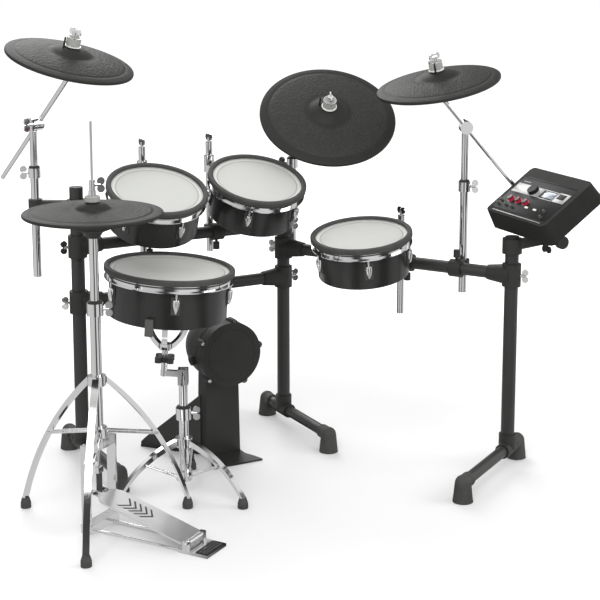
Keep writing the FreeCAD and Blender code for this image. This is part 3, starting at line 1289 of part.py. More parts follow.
def kick():
    face = plan(S.kick_x, S.kick_pad_y, S.kick_pad_height)
    toward = -BACK
    place = frame(face, toward, UP)
    rim = S.kick_rim_radius
    back = S.kick_housing_back_radius
    housing = revolve("kick_bowl", [
        (0, -S.kick_housing_depth), (back, -S.kick_housing_depth), Arc(rim * 2, 1), (rim - 3, -S.kick_shoulder),
        (rim, -18), (rim, 0), (S.kick_pad_radius + S.seat_gap, 0), (S.kick_pad_radius + S.seat_gap, -12),
        (0, -12)], place)
    lugs = []
    for number in range(5):
        side = turned(place, UP, -S.kick_lug_turn.value - 72 * number)
        lugs.append(cylinder("kick_lug", S.kick_lug_radius, S.kick_lug_length,
                             shifted(side, rim, 0, -float(S.kick_lug_length + 4))))
    jack_side = turned(place, UP, 102)
    jack_way = jack_side.Rotation.multVec(Vector(1, 0, 0))
    jack_root = shifted(jack_side, rim * 0.8, 0, -float(S.kick_shoulder * 0.7)).Base
    jack = ring("kick_jack", S.kick_jack_radius, S.kick_jack_radius * 0.45, rim * 0.2 + S.kick_jack_length,
                frame(jack_root, jack_way))
    add("kick_housing", fuse("kick_shell", housing, jack, *lugs))
    pad = revolve("kick_cushion", [
        (0, -12 + S.seat_gap), (S.kick_pad_radius, -12 + S.seat_gap), (S.kick_pad_radius, -1),
        Arc(4.0, 1), (S.kick_pad_radius - 4, 3), (0, 3)], place)
    add("kick_pad", pad)
    # bent plate base, column and rear stay
    base = plate("kick_base", [
        (-S.kick_base_width / 2, 0), (S.kick_base_width / 2, 0),
        (S.kick_base_width / 2 - 8, 30), (S.kick_column_width / 2, 62),
        (S.kick_column_width / 2, S.kick_base_length), (-S.kick_column_width / 2, S.kick_base_length),
        (-S.kick_column_width / 2, 62), (8 - S.kick_base_width / 2, 30)],
        S.kick_plate, frame(plan(S.kick_x, S.kick_front_y)))
    column_top = S.kick_pad_height - rim * 0.45
    foot = plan(S.kick_x, S.kick_column_y, S.kick_plate)
    column = plate("kick_column", [
        (-S.kick_column_width / 2, 0), (S.kick_column_width / 2, 0),
        (S.kick_column_width / 2 - 5, column_top), (5 - S.kick_column_width / 2, column_top)],
        S.kick_column_depth, Placement(foot + BACK * float(S.kick_column_depth),
                                       Rotation(Vector(1, 0, 0), UP, -BACK, "ZXY")))
    bowl_room = revolve("kick_bowl_room", [
        (0, -S.kick_housing_depth - S.seat_gap), (back + S.seat_gap, -S.kick_housing_depth - S.seat_gap),
        Arc(rim * 2, 1), (rim - 3 + S.seat_gap, -S.kick_shoulder), (rim + S.seat_gap, -18),
        (rim + S.seat_gap, 20), (0, 20)], place)
    lug_room = [cylinder("kick_lug_room", S.kick_lug_radius + S.seat_gap, S.kick_lug_length + S.seat_gap * 2,
                         shifted(turned(place, UP, -S.kick_lug_turn.value - 72 * number), rim, 0,
                                 -float(S.kick_lug_length + S.seat_gap + 4)))
                for number in range(5)]
    tower = fuse("kick_tower_solid", base, column)
    add("kick_tower", cut("kick_tower_plate", tower, bowl_room, *lug_room))
    hip = plan(float(S.kick_x) - float(S.kick_column_width / 2) - 4,
               float(S.kick_column_y) + float(S.kick_column_depth / 2))
    tip = plan(S.kick_stay_x, S.kick_stay_y)
    way = unit(tip - hip)
    run = (tip - hip).Length
    thick = S.kick_plate
    stay = plate("kick_stay", [
        (0, 0), (run, 0), (run, 14), (run - 16, 30), (0, S.kick_stay_height)], thick,
        Placement(hip + UP.cross(way) * -float(thick / 2) + UP * 0.0,
                  Rotation(way, UP, way.cross(UP), "ZXY")))
    flange = plate("kick_stay_foot", [(8, -26), (run - 10, -16), (run, 0), (8, 0)], thick,
                   Placement(hip, Rotation(way, UP.cross(way), UP, "ZXY")))
    stay_solid = fuse("kick_stay_solid", stay, flange)
    room = block("kick_stay_room", S.kick_column_width + S.seat_gap * 2,
                 S.kick_base_length + S.seat_gap * 2, S.kick_stay_height * 2,
                 frame(plan(S.kick_x, float(S.kick_front_y) + float(S.kick_base_length) / 2)))
    add("kick_tower", cut("kick_rear_stay", stay_solid, room))


# Sound module

def module():
    across = heading(S.module_turn.value)
    back = UP.cross(across)
    slope = Rotation(across, S.module_slope.value)
    normal = slope.multVec(UP)
    deep = slope.multVec(back)
    centre = plan(S.module_x, S.module_y, RIGHT_LEG_TOP + S.module_z)
    face = frame(centre, normal, across)
    half_w = S.module_width / 2
    half_l = S.module_length / 2
    flare = S.module_flare
    corner = 14.0
    top_outline = [
        (-half_w + corner, -half_l), (half_w - corner, -half_l), Arc(corner, 1), (half_w, -half_l + corner),
        (half_w, half_l - corner), Arc(corner, 1), (half_w - corner, half_l),
        (-half_w + corner, half_l), Arc(corner, 1), (-half_w, half_l - corner),
        (-half_w, -half_l + corner), Arc(corner, 1)]
    wide = half_w + flare
    long = half_l + flare
    low_outline = [
        (-wide + corner, -long), (wide - corner, -long), Arc(corner, 1), (wide, -long + corner),
        (wide, long - corner), Arc(corner, 1), (wide - corner, long),
        (-wide + corner, long), Arc(corner, 1), (-wide, long - corner),
        (-wide, -long + corner), Arc(corner, 1)]
    body = doc.addObject("PartDesign::Body", "module_body")
    low = outline_sketch(body, "module_low", "XY_Plane", low_outline)
    low.AttachmentOffset = Placement(Vector(0, 0, -float(S.module_height)), Rotation())
    high = outline_sketch(body, "module_high", "XY_Plane", top_outline)
    loft = body.newObject("PartDesign::AdditiveLoft", "module_loft")
    loft.Profile = low
    loft.Sections = [high]
    loft.Ruled = True
    body.Tip = loft
    body.Placement = face
    holes = []
    dial_spot = shifted(face, S.dial_x, S.dial_y, 0)
    knob_spots = [shifted(face, S.knob_first_x + S.knob_pitch * number, S.knob_row_y, 0)
                  for number in range(3)]
    button_spots = [shifted(face, S.button_first_x + S.button_pitch * number, S.button_row_y, 0)
                    for number in range(2)]
    gap = S.slip_gap
    for name, spot, radius, height in (
            [("module_dial", dial_spot, S.dial_radius, S.dial_height)]
            + [(f"module_knob_{place_name}", spot, S.small_knob_radius, S.small_knob_height)
               for place_name, spot in zip(("left", "middle", "right"), knob_spots)]):
        grip = cylinder(f"{name}_grip", radius, height, shifted(spot, z=gap))
        shaft = cylinder(f"{name}_shaft", S.knob_shaft_radius, 12, shifted(spot, z=-12 + float(gap)))
        add(name, fuse(f"{name}_solid", grip, shaft))
        holes.append(cylinder(f"{name}_hole", S.knob_shaft_radius + S.pin_gap, 14, shifted(spot, z=-13)))
    for place_name, spot in zip(("left", "right"), button_spots):
        name = f"module_button_{place_name}"
        add(name, block(f"{name}_cap", S.button_length, S.button_width, S.button_height + 6,
                        shifted(spot, z=-6)))
        holes.append(block(f"{name}_hole", S.button_length + gap * 2, S.button_width + gap * 2, 12,
                           shifted(spot, z=-9)))
    screen_room = block("module_screen_room", S.screen_width, S.screen_height, 10,
                        shifted(face, S.screen_x, S.screen_y, -3))
    add("module_screen", block("module_screen_glass", S.screen_width - S.seat_gap * 2,
                               S.screen_height - S.seat_gap * 2, 3.6,
                               shifted(face, S.screen_x, S.screen_y, -3 + float(S.seat_gap))))
    # tilt hinge under the case, carried by a bracket on the right leg
    hinge = centre - normal * float(S.module_pivot_drop) - deep * float(S.module_pivot_shift)
    eye_top = float(S.module_pivot_drop - S.module_height)
    ears = []
    for sign in (-1, 1):
        spot = hinge + across * (sign * 30)
        ears.append(cylinder("module_ear", 15.0, 10, frame(spot - across * 5, across)))
        ears.append(block("module_ear_leg", 10, 26, eye_top + 2, frame(spot, normal, across)))
    eye_bores = cylinder("module_ear_bore", S.module_pivot_radius + S.pin_gap, 120,
                         frame(hinge - across * 60, across))
    case = fuse("module_case_solid", body, *ears)
    add("module_case", cut("module_case_shell", case, eye_bores, screen_room, *holes))
    stalk = RIGHT_LEG + UP * float(RIGHT_LEG_TOP - 22)
    grip = cylinder("module_grip", S.leg_radius + 8, 40, frame(RIGHT_LEG + UP * float(RIGHT_LEG_TOP - 42)))
    barrel = cylinder("module_barrel", 13.0, 49, frame(hinge - across * 24.5, across))
    low = hinge - UP * float(S.holder_drop)
    reach = low + UP * 16 - stalk
    arm = block("module_arm", 26, 22, reach.Length, frame(stalk, reach, UP))
    pin = cylinder("module_pin", S.module_pivot_radius, 84, frame(hinge - across * 42, across))
    leg_bore = cylinder("module_leg_bore", S.leg_radius + S.seat_gap, 100,
                        frame(RIGHT_LEG + UP * float(RIGHT_LEG_TOP - 60)))
    holder = block("module_holder", 34, 34, S.holder_drop, frame(low, UP, across))
    bracket = fuse("module_bracket_solid", grip, barrel, arm, pin, holder)
    add("module_bracket", cut("module_bracket_casting", bracket, leg_bore))
    add("mount_knobs", wing_bolt("module_holder_bolt", low - UP * float(S.seat_gap), -UP))
    spot = low + UP * 18 + across * (17 + float(S.seat_gap))
    stem = cylinder("module_knob_stem", 5.0, 44, frame(spot, across))
    disc = cylinder("module_knob_disc", S.holder_knob_radius, 13, frame(spot + across * 42, across))
    add("mount_knobs", fuse("module_knob_grip", stem, disc))


def write_parts():
    """Groups each node's pieces, checks every object and writes one STEP file per node."""
    groups = {}
    for name, pieces in NODES.items():
        if len(pieces) == 1:
            groups[name] = pieces[0]
        else:
            group = doc.addObject("Part::Compound", f"{name}_group")
            group.Links = pieces
            groups[name] = group
    doc.recompute()
    failed = [item.Name for item in doc.Objects if {"Invalid", "Error"} & set(item.State)]
    if failed:
        raise RuntimeError(f"failed objects: {failed}")
    for name, item in groups.items():
        item.Label = name
        shape = item.Shape
        if shape.isNull() or not shape.isValid():
            raise RuntimeError(f"{name} has no valid shape")
    os.makedirs("parts", exist_ok=True)
    for name, item in groups.items():
        item.Shape.exportStep(os.path.join("parts", f"{name}.step"))


rack()
toms()
cymbals()
hihat_stand()
hihat_rod()
hihat_pedal()
snare()
kick()
module()
write_parts()
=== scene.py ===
"""Dresses the electronic drum kit: finishes for the solids, and the finer pieces around them."""

import json
import logging
import math
from dataclasses import dataclass, replace
from enum import Enum
from typing import Optional, Sequence, Union

import bpy
from mathutils import Matrix, Vector


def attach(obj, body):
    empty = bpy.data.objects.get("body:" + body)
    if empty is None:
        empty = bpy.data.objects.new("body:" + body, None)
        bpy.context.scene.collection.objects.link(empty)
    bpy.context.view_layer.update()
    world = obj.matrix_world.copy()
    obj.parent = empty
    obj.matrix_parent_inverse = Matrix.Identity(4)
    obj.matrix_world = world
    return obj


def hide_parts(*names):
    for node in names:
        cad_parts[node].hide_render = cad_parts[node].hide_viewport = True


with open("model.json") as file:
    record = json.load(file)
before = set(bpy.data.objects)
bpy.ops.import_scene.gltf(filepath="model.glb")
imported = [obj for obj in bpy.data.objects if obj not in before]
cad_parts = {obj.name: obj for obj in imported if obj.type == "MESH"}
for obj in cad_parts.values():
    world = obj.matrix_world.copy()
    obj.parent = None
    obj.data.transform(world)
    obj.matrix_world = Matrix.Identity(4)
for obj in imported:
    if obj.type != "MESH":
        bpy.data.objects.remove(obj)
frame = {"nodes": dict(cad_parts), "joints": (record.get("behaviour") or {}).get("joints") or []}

Colour = tuple[float, float, float]
Point = tuple[float, float]
Spot = tuple[float, float, float]
Noise = tuple[float, ...]
Material = bpy.types.Material
Piece = bpy.types.Object

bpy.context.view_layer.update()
LOG = logging.getLogger("drum_kit")
MM = 0.001
UP = Vector((0.0, 0.0, 1.0))
DRUMMER = Vector((0.0, -1.0, 0.0))

MIDDLE = Vector((419.24, -289.37, 0.0))
HIHAT = (-126.0, -454.0)
SNARE: Spot = (112.0, -349.0, 586.5)
SNARE_HEADING = 152.0
SNARE_LEAN = 4.0
SNARE_RADIUS = 148.5
SNARE_DEPTH = 115.0
HUB_DROP = 90.15
TOM_RADIUS = 119.0
TOM_DEPTH = 104.0
LUGS = 5

# Edges sharper than this stay sharp, in degrees, and the divisions of a turn
SHARP = 35.0
FINE = 128
SMALL = 48


def kit(x: float, y: float, z: float) -> Vector:
    """A point in metres, from millimetres measured off the left rack leg."""
    return (Vector((x, y, z)) - MIDDLE) * MM


def basis(point: Vector, z_axis: Vector, x_hint: Vector) -> Matrix:
    """A place whose Z axis points along z_axis and whose X axis leans to x_hint.

    Args:
        point: where the place lies, in metres.
        z_axis: the direction of its Z axis.
        x_hint: the direction that its X axis leans to.

    Returns:
        The place as a matrix.
    """
    up = z_axis.normalized()
    across = up.cross(x_hint).normalized()
    forward = across.cross(up)
    turned = Matrix((forward, across, up)).transposed().to_4x4()
    return Matrix.Translation(point) @ turned


def heading(degrees: float) -> Vector:
    """A level direction, by its angle from +X."""
    angle = math.radians(degrees)
    return Vector((math.cos(angle), math.sin(angle), 0.0))


def joint(name: str) -> dict:
    """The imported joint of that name."""
    return next(item for item in frame["joints"] if item["name"] == name)


def grey(tone: float) -> Colour:
    """A neutral colour."""
    return (tone, tone, tone)


# Shader maths


class Value:
    """A shader socket that takes part in Python arithmetic."""

    def __init__(self, graph: "Graph", socket: bpy.types.NodeSocket) -> None:
        """Keeps the socket and the graph that it belongs to."""
        self.graph = graph
        self.socket = socket

    def math(self, operation: str, *others: "Number") -> "Value":
        """Adds a Math node over this value and others.

        Args:
            operation: the Math node's operation.
            others: the further inputs.

        Returns:
            The result.
        """
        inputs = dict(enumerate((self, *others)))
        return self.graph.node("ShaderNodeMath", {"operation": operation}, inputs)

    def __add__(self, other: "Number") -> "Value":
        """Sum."""
        return self.math("ADD", other)

    __radd__ = __add__

    def __sub__(self, other: "Number") -> "Value":
        """Difference."""
        return self.math("SUBTRACT", other)

    def __rsub__(self, other: float) -> "Value":
        """Difference from a number."""
        return self.graph.node("ShaderNodeMath", {"operation": "SUBTRACT"}, {0: other, 1: self})

    def __mul__(self, other: "Number") -> "Value":
        """Product."""
        return self.math("MULTIPLY", other)

    __rmul__ = __mul__

    def __truediv__(self, other: "Number") -> "Value":
        """Quotient."""
        return self.math("DIVIDE", other)

    def sine(self) -> "Value":
        """Sine."""
        return self.math("SINE")

    def root(self) -> "Value":
        """Square root."""
        return self.math("SQRT")

    def above(self, edge: float, soft: float) -> "Value":
        """A mask that is one above the edge, over a soft width."""
        inputs = {"Value": self, "From Min": edge - soft, "From Max": edge + soft}
        return self.graph.node("ShaderNodeMapRange", {"interpolation_type": "SMOOTHSTEP"}, inputs)


Number = Union[Value, float]
Tint = Union[Value, Colour]
Setting = Union[Value, float, Colour]


class Graph:
    """The node graph of a material, or of the world."""

    def __init__(self, name: str, world: bool = False) -> None:
        """Starts an empty graph.

        Args:
            name: its owner's name.
            world: whether the owner is a world, not a material.
        """
        self.owner = (bpy.data.worlds if world else bpy.data.materials).new(name)
        self.output = "ShaderNodeOutputWorld" if world else "ShaderNodeOutputMaterial"
        self.owner.use_nodes = True
        self.tree = self.owner.node_tree
        self.tree.nodes.clear()

    def node(self, kind: str, settings: dict, inputs: dict, output: Union[int, str] = 0) -> Value:
        """Adds any node.

        Args:
            kind: the node's type.
            settings: its own settings, set first; "stops" fills a colour ramp.
            inputs: values or links of its sockets, by name or number.
            output: the output that is wanted.

        Returns:
            That output.
        """
        item = self.tree.nodes.new(kind)
        for key, setting in settings.items():
            if key == "stops":
                self.fill_ramp(item.color_ramp, setting)
            else:
                setattr(item, key, setting)
        for key, value in inputs.items():
            if isinstance(value, Value):
                self.tree.links.new(value.socket, item.inputs[key])
            else:
                item.inputs[key].default_value = value
        return Value(self, item.outputs[output])

    @staticmethod
    def fill_ramp(ramp: bpy.types.ColorRamp, stops: Sequence[tuple[float, Colour]]) -> None:
        """Sets a colour ramp's stops.

        Args:
            ramp: the ramp.
            stops: places and colours, in order.
        """
        while len(ramp.elements) < len(stops):
            ramp.elements.new(1.0)
        for element, (place, colour) in zip(ramp.elements, stops):
            element.position = place
            element.color = (*colour, 1.0)

    def place(self, matrix: Optional[Matrix] = None) -> Value:
        """Object coordinates, or a piece's own coordinates under its matrix.

        Args:
            matrix: the piece's place.

        Returns:
            The coordinates.
        """
        spot = self.node("ShaderNodeTexCoord", {}, {}, "Object")
        if matrix is None:
            return spot
        inputs = {"Vector": spot, "Location": matrix.to_translation(), "Rotation": matrix.to_euler()}
        return self.node("ShaderNodeMapping", {"vector_type": "TEXTURE"}, inputs)

    def split(self, vector: Value) -> tuple[Value, Value, Value]:
        """Splits a vector.

        Args:
            vector: the vector.

        Returns:
            Its three parts.
        """
        first = self.node("ShaderNodeSeparateXYZ", {}, {0: vector})
        outputs = first.socket.node.outputs
        return Value(self, outputs[0]), Value(self, outputs[1]), Value(self, outputs[2])

    def noise(self, vector: Value, scale: float, detail: float = 3.0, rough: float = 0.5) -> Value:
        """Noise from 0 to 1.

        Args:
            vector: the coordinates.
            scale: features per metre.
            detail: octaves.
            rough: how strong the finer octaves are.

        Returns:
            The noise.
        """
        inputs = {"Vector": vector, "Scale": scale, "Detail": detail, "Roughness": rough}
        return self.node("ShaderNodeTexNoise", {}, inputs)

    def mix(self, factor: Number, first: Tint, second: Tint) -> Value:
        """A colour between two.

        Args:
            factor: the share of the second.
            first: a colour or a socket.
            second: a colour or a socket.

        Returns:
            The colour.
        """
        inputs = {0: factor, 6: self.full(first), 7: self.full(second)}
        return self.node("ShaderNodeMix", {"data_type": "RGBA"}, inputs, 2)

    @staticmethod
    def full(tint: Tint) -> Union[Value, tuple]:
        """A colour with its alpha, or the socket as it is."""
        return tint if isinstance(tint, Value) else (*tint, 1.0)

    def bump(self, height: Value, strength: float, distance: float) -> Value:
        """A bump for a shader's normal.

        Args:
            height: the relief, from 0 to 1.
            strength: how much of it shows.
            distance: the relief's depth in metres.

        Returns:
            The normal.
        """
        inputs = {"Height": height, "Strength": strength, "Distance": distance}
        return self.node("ShaderNodeBump", {}, inputs)

    def finish(self, **sockets: Setting) -> Material:
        """Closes the graph with a Principled shader.

        Args:
            sockets: its sockets, with _ for each space.

        Returns:
            The material.
        """
        inputs = {key.replace("_", " "): self.full(value) if isinstance(value, tuple) else value
                  for key, value in sockets.items()}
        return self.close(self.node("ShaderNodeBsdfPrincipled", {}, inputs))

    def mirrored(self, plain: Value, cards: Value) -> bpy.types.ID:
        """Closes the graph with one shader for the eye and another for reflections.

        Args:
            plain: what is seen directly.
            cards: what polished pieces see.

        Returns:
            The graph's owner.
        """
        glossy = self.node("ShaderNodeLightPath", {}, {}, "Is Glossy Ray")
        return self.close(self.node("ShaderNodeMixShader", {}, {0: glossy, 1: plain, 2: cards}))

    def close(self, shader: Value) -> bpy.types.ID:
        """Leads a shader to the output of the graph's owner.

        Args:
            shader: the shader.

        Returns:
            The graph's owner.
        """
        output = self.tree.nodes.new(self.output)
        self.tree.links.new(shader.socket, output.inputs["Surface"])
        return self.owner


# Finishes


@dataclass(frozen=True)
class Coating:
    """A plain finish: a cloudy colour over a fine relief.

    Cloud and relief are noises, each as features per metre, octaves and their strength. The colour runs from
    tint to lift with the cloud, or by its share with the relief. Both noises add to the roughness. The relief
    also gives the bump, with its depth in metres.
    """

    name: str
    tint: Colour
    lift: Colour
    cloud: Noise
    relief: Noise
    rough: float
    cloud_rough: float = 0.0
    relief_rough: float = 0.0
    bump: float = 0.0
    depth: float = 0.0003
    share: float = 0.0
    metal: float = 0.0
    shine: float = 0.5

    def make(self) -> Material:
        """Draws the cloud, the relief and the shader over them.

        Returns:
            The material.
        """
        graph = Graph(self.name)
        spot = graph.place()
        cloud = graph.noise(spot, *self.cloud)
        relief = graph.noise(spot, *self.relief)
        blend = cloud * (1.0 - self.share) + relief * self.share
        return graph.finish(Base_Color=graph.mix(blend, self.tint, self.lift), Metallic=self.metal,
                            Roughness=self.rough + cloud * self.cloud_rough + relief * self.relief_rough,
                            Specular_IOR_Level=self.shine, Normal=graph.bump(relief, self.bump, self.depth))


@dataclass(frozen=True)
class KnobOnChrome:
    """Plating with a black rubber knob round one stretch of an axis."""

    name: str
    matrix: Matrix
    bore: float
    low: float
    high: float
    edge: float = 0.0002

    def make(self) -> Material:
        """Draws plating, and rubber where the knob is.

        Returns:
            The material.
        """
        graph = Graph(self.name)
        spot = graph.place()
        x, y, z = graph.split(graph.place(self.matrix))
        reach = (x * x + y * y).root()
        between = z.above(self.low, self.edge) * (1.0 - z.above(self.high, self.edge))
        knob = reach.above(self.bore, self.edge) * between
        haze = graph.noise(spot, 9.0, 4.0)
        grain = graph.noise(spot, 900.0, 2.0)
        colour = graph.mix(knob, graph.mix(haze, grey(0.80), grey(0.70)),
                           graph.mix(grain, grey(0.012), (0.026, 0.026, 0.025)))
        rough = (0.045 + haze * 0.06) * (1.0 - knob) + (0.45 + grain * 0.15) * knob
        return graph.finish(Base_Color=colour, Metallic=1.0 - knob, Roughness=rough,
                            Normal=graph.bump(grain * knob, 0.2, 0.0003))


@dataclass(frozen=True)
class CymbalRubber:
    """Playing surface of a cymbal pad: hammered between the bell and the edge band."""

    name: str
    matrix: Matrix
    radius: float
    bell: float = 0.066
    edge_band: float = 0.026
    tint: Colour = (0.026, 0.0268, 0.0235)
    shade: Colour = (0.011, 0.0114, 0.0098)

    def make(self) -> Material:
        """Draws dents on the bow, with painted shade in their hollows, and fine grooves on the bell and the
        edge.

        Returns:
            The material.
        """
        graph = Graph(self.name)
        spot = graph.place(self.matrix)
        x, y, _ = graph.split(spot)
        reach = (x * x + y * y).root()
        band = reach.above(self.bell, 0.006) * (1.0 - reach.above(self.radius - self.edge_band, 0.004))
        dents = graph.node("ShaderNodeTexVoronoi", {"feature": "SMOOTH_F1"},
                           {"Vector": spot, "Scale": 135.0, "Smoothness": 0.25, "Randomness": 0.8})
        dust = graph.noise(spot, 18.0, 6.0, 0.6)
        skin = graph.noise(spot, 900.0, 3.0)
        groove = (reach * 2600.0).sine() * 0.03 * (1.0 - band)
        relief = dents * band + skin * 0.06 + groove
        # The dents' hollows are darker than their rims: painted shade, over a cloudy dust tone.
        colour = graph.mix(dust * 0.5 + dents * band * 0.9, self.shade, self.tint)
        return graph.finish(Base_Color=colour, Roughness=0.5 + dust * 0.16, Specular_IOR_Level=0.25,
                            Normal=graph.bump(relief, 0.7, 0.0016))


@dataclass(frozen=True)
class MeshHead:
    """Woven two-ply drum head with a printed edge line."""

    name: str
    matrix: Matrix
    radius: float
    pitch: float = 0.0016
    line: Point = (0.0125, 0.0100)
    collar: float = 0.0085
    tint: Colour = (0.455, 0.46, 0.44)
    thread: Colour = (0.375, 0.38, 0.36)

    def make(self) -> Material:
        """Draws the weave, the printed line and the pale collar.

        Returns:
            The material.
        """
        graph = Graph(self.name)
        x, y, _ = graph.split(graph.place(self.matrix))
        reach = (x * x + y * y).root()
        turns = 2.0 * math.pi / self.pitch
        weave = (x * turns).sine() * (y * turns).sine() * 0.5 + 0.5
        stain = graph.noise(graph.place(), 12.0, 5.0)
        inner, outer = (reach.above(self.radius - inset, 0.0007) for inset in self.line)
        collar = reach.above(self.radius - self.collar, 0.0010)
        cloth = graph.mix(weave * 0.5 + stain * 0.35, self.tint, self.thread)
        ringed = graph.mix(inner * (1.0 - outer) * 0.7, cloth, (0.22, 0.22, 0.21))
        colour = graph.mix(collar * 0.5, ringed, (0.68, 0.68, 0.66))
        return graph.finish(Base_Color=colour, Roughness=0.62 + stain * 0.12,
                            Normal=graph.bump(weave, 0.25, 0.0004))


@dataclass(frozen=True)
class Brushed:
    """Brushed silver trim."""

    name: str
    matrix: Matrix
    tint: Colour = (0.40, 0.40, 0.39)
    shade: Colour = (0.30, 0.30, 0.29)
    metal: float = 0.25

    def make(self) -> Material:
        """Draws fine marks along X.

        Returns:
            The material.
        """
        graph = Graph(self.name)
        x, y, z = graph.split(graph.place(self.matrix))
        stretched = graph.node("ShaderNodeCombineXYZ", {}, {0: x * 0.03, 1: y, 2: z})
        brush = graph.noise(stretched, 1800.0, 3.0)
        return graph.finish(Base_Color=graph.mix(brush, self.shade, self.tint), Metallic=self.metal,
                            Roughness=0.26 + brush * 0.16, Normal=graph.bump(brush, 0.1, 0.0002))


@dataclass(frozen=True)
class Lamp:
    """A plastic cap lit from inside."""

    name: str
    tint: Colour
    glow: float

    def make(self) -> Material:
        """Draws a cloudy cap that glows.

        Returns:
            The material.
        """
        graph = Graph(self.name)
        cloud = graph.noise(graph.place(), 240.0, 3.0)
        colour = graph.mix(cloud * 0.5, self.tint, tuple(part * 0.7 for part in self.tint))
        return graph.finish(Base_Color=colour, Roughness=0.3 + cloud * 0.1, Emission_Color=colour,
                            Emission_Strength=self.glow)


@dataclass(frozen=True)
class LitKnob:
    """A dark ribbed knob with light coming through its skirt."""

    name: str
    matrix: Matrix
    core: float = 0.0066
    skirt: float = 0.0062
    top: float = 0.0085
    mark: float = 0.0012
    glow: Colour = (0.34, 0.012, 0.035)

    def make(self) -> Material:
        """Draws the lit skirt and the pointer on top.

        Returns:
            The material.
        """
        graph = Graph(self.name)
        x, y, z = graph.split(graph.place(self.matrix))
        reach = (x * x + y * y).root()
        skirt = (1.0 - z.above(self.skirt, 0.0012)) * reach.above(self.core, 0.0006)
        stroke = 1.0 - (x * x).root().above(self.mark, 0.0003)
        mark = z.above(self.top, 0.0004) * stroke * y.above(0.0, 0.0006)
        cloud = graph.noise(graph.place(), 420.0, 3.0)
        lit = graph.mix(skirt * (0.65 + cloud * 0.35) + mark, (0.02, 0.004, 0.005), self.glow)
        return graph.finish(Base_Color=lit, Roughness=0.32 + cloud * 0.12, Emission_Color=lit,
                            Emission_Strength=0.35)


@dataclass(frozen=True)
class Display:
    """A lit screen with plain level bars."""

    name: str
    matrix: Matrix
    bar: float = 0.0065
    header: float = 0.0072

    def make(self) -> Material:
        """Draws the header and the level bars below it.

        Returns:
            The material.
        """
        graph = Graph(self.name)
        x, y, _ = graph.split(graph.place(self.matrix))
        stripe = (x * (2.0 * math.pi / self.bar)).sine().above(0.1, 0.2)
        level = graph.noise(graph.node("ShaderNodeCombineXYZ", {}, {0: x}), 150.0, 1.0) * 0.02 - 0.0105
        below = 1.0 - (y - level).above(0.0, 0.0006)
        header = y.above(self.header, 0.0004)
        field = graph.mix(header, (0.15, 0.17, 0.21), (0.34, 0.36, 0.39))
        colour = graph.mix(stripe * below * (1.0 - header), field, (0.40, 0.43, 0.47))
        return graph.finish(Base_Color=colour, Roughness=0.12 + stripe * 0.02, Emission_Color=colour,
                            Emission_Strength=0.15)


# Modelling moves


def deselect() -> None:
    """Leaves nothing selected, in object mode."""
    bpy.ops.object.select_all(action="DESELECT")


def pick_mesh() -> None:
    """Selects all of the mesh in edit mode."""
    bpy.ops.mesh.select_all(action="SELECT")


def settle(piece: Piece, place: Matrix) -> Piece:
    """Moves a piece's mesh to its place, with the object at the origin.

    Args:
        piece: the piece, modelled about the origin.
        place: where it goes.

    Returns:
        The piece.
    """
    bpy.ops.object.mode_set(mode="OBJECT")
    deselect()
    piece.select_set(True)
    bpy.context.view_layer.objects.active = piece
    piece.matrix_world = place @ piece.matrix_world
    bpy.ops.object.transform_apply(location=True, rotation=True, scale=True)
    bpy.ops.object.shade_smooth_by_angle(angle=math.radians(SHARP))
    return piece


def trace(name: str, spots: Sequence[Vector]) -> Piece:
    """Draws a line through points and leaves it selected in edit mode.

    Args:
        name: the piece's name.
        spots: the points in order, in metres.

    Returns:
        The piece.
    """
    deselect()
    bpy.ops.mesh.primitive_plane_add(size=0.01)
    piece = bpy.context.active_object
    piece.name = piece.data.name = name
    bpy.ops.object.mode_set(mode="EDIT")
    bpy.ops.mesh.select_mode(type="VERT")
    pick_mesh()
    bpy.ops.mesh.merge(type="CENTER")
    bpy.ops.transform.translate(value=spots[0])
    for before, after in zip(spots, spots[1:]):
        bpy.ops.mesh.extrude_vertices_move(TRANSFORM_OT_translate={"value": after - before})
    pick_mesh()
    return piece


def lathe(name: str, profile: Sequence[Point], place: Matrix, steps: int) -> Piece:
    """Spins an outline about its Z axis.

    Args:
        name: the piece's name.
        profile: radius and height along the outline, in millimetres.
        place: where the piece goes.
        steps: divisions of the turn.

    Returns:
        The piece.
    """
    piece = trace(name, [Vector((radius * MM, 0.0, height * MM)) for radius, height in profile])
    bpy.ops.mesh.spin(steps=steps, angle=2.0 * math.pi, center=(0, 0, 0), axis=(0, 0, 1))
    pick_mesh()
    bpy.ops.mesh.remove_doubles(threshold=1e-6)
    bpy.ops.mesh.normals_make_consistent(inside=False)
    return settle(piece, place)


def slab(name: str, size: Spot, place: Matrix, edge: float, segments: int = 3) -> Piece:
    """A box with rounded edges, centred on X and Y and standing on its place.

    Args:
        name: the piece's name.
        size: length, width and height in millimetres.
        place: where the piece goes.
        edge: the rounding in millimetres.
        segments: divisions of the rounding.

    Returns:
        The piece.
    """
    deselect()
    bpy.ops.mesh.primitive_cube_add(size=1.0, location=(0, 0, size[2] * MM / 2))
    piece = bpy.context.active_object
    piece.name = piece.data.name = name
    piece.scale = tuple(part * MM for part in size)
    bpy.ops.object.transform_apply(location=True, rotation=False, scale=True)
    bpy.ops.object.mode_set(mode="EDIT")
    pick_mesh()
    bpy.ops.mesh.bevel(offset=edge * MM, segments=segments, affect="EDGES")
    return settle(piece, place)


def cutout(name: str, outline: Sequence[Point], thick: float, place: Matrix) -> Piece:
    """A flat piece of any outline, standing on its place.

    Args:
        name: the piece's name.
        outline: its corners in millimetres, in order.
        thick: its thickness in millimetres.
        place: where the piece goes.

    Returns:
        The piece.
    """
    piece = trace(name, [Vector((x * MM, y * MM, 0.0)) for x, y in outline])
    bpy.ops.mesh.edge_face_add()
    bpy.ops.mesh.extrude_region_move(TRANSFORM_OT_translate={"value": (0.0, 0.0, thick * MM)})
    pick_mesh()
    bpy.ops.mesh.normals_make_consistent(inside=False)
    return settle(piece, place)


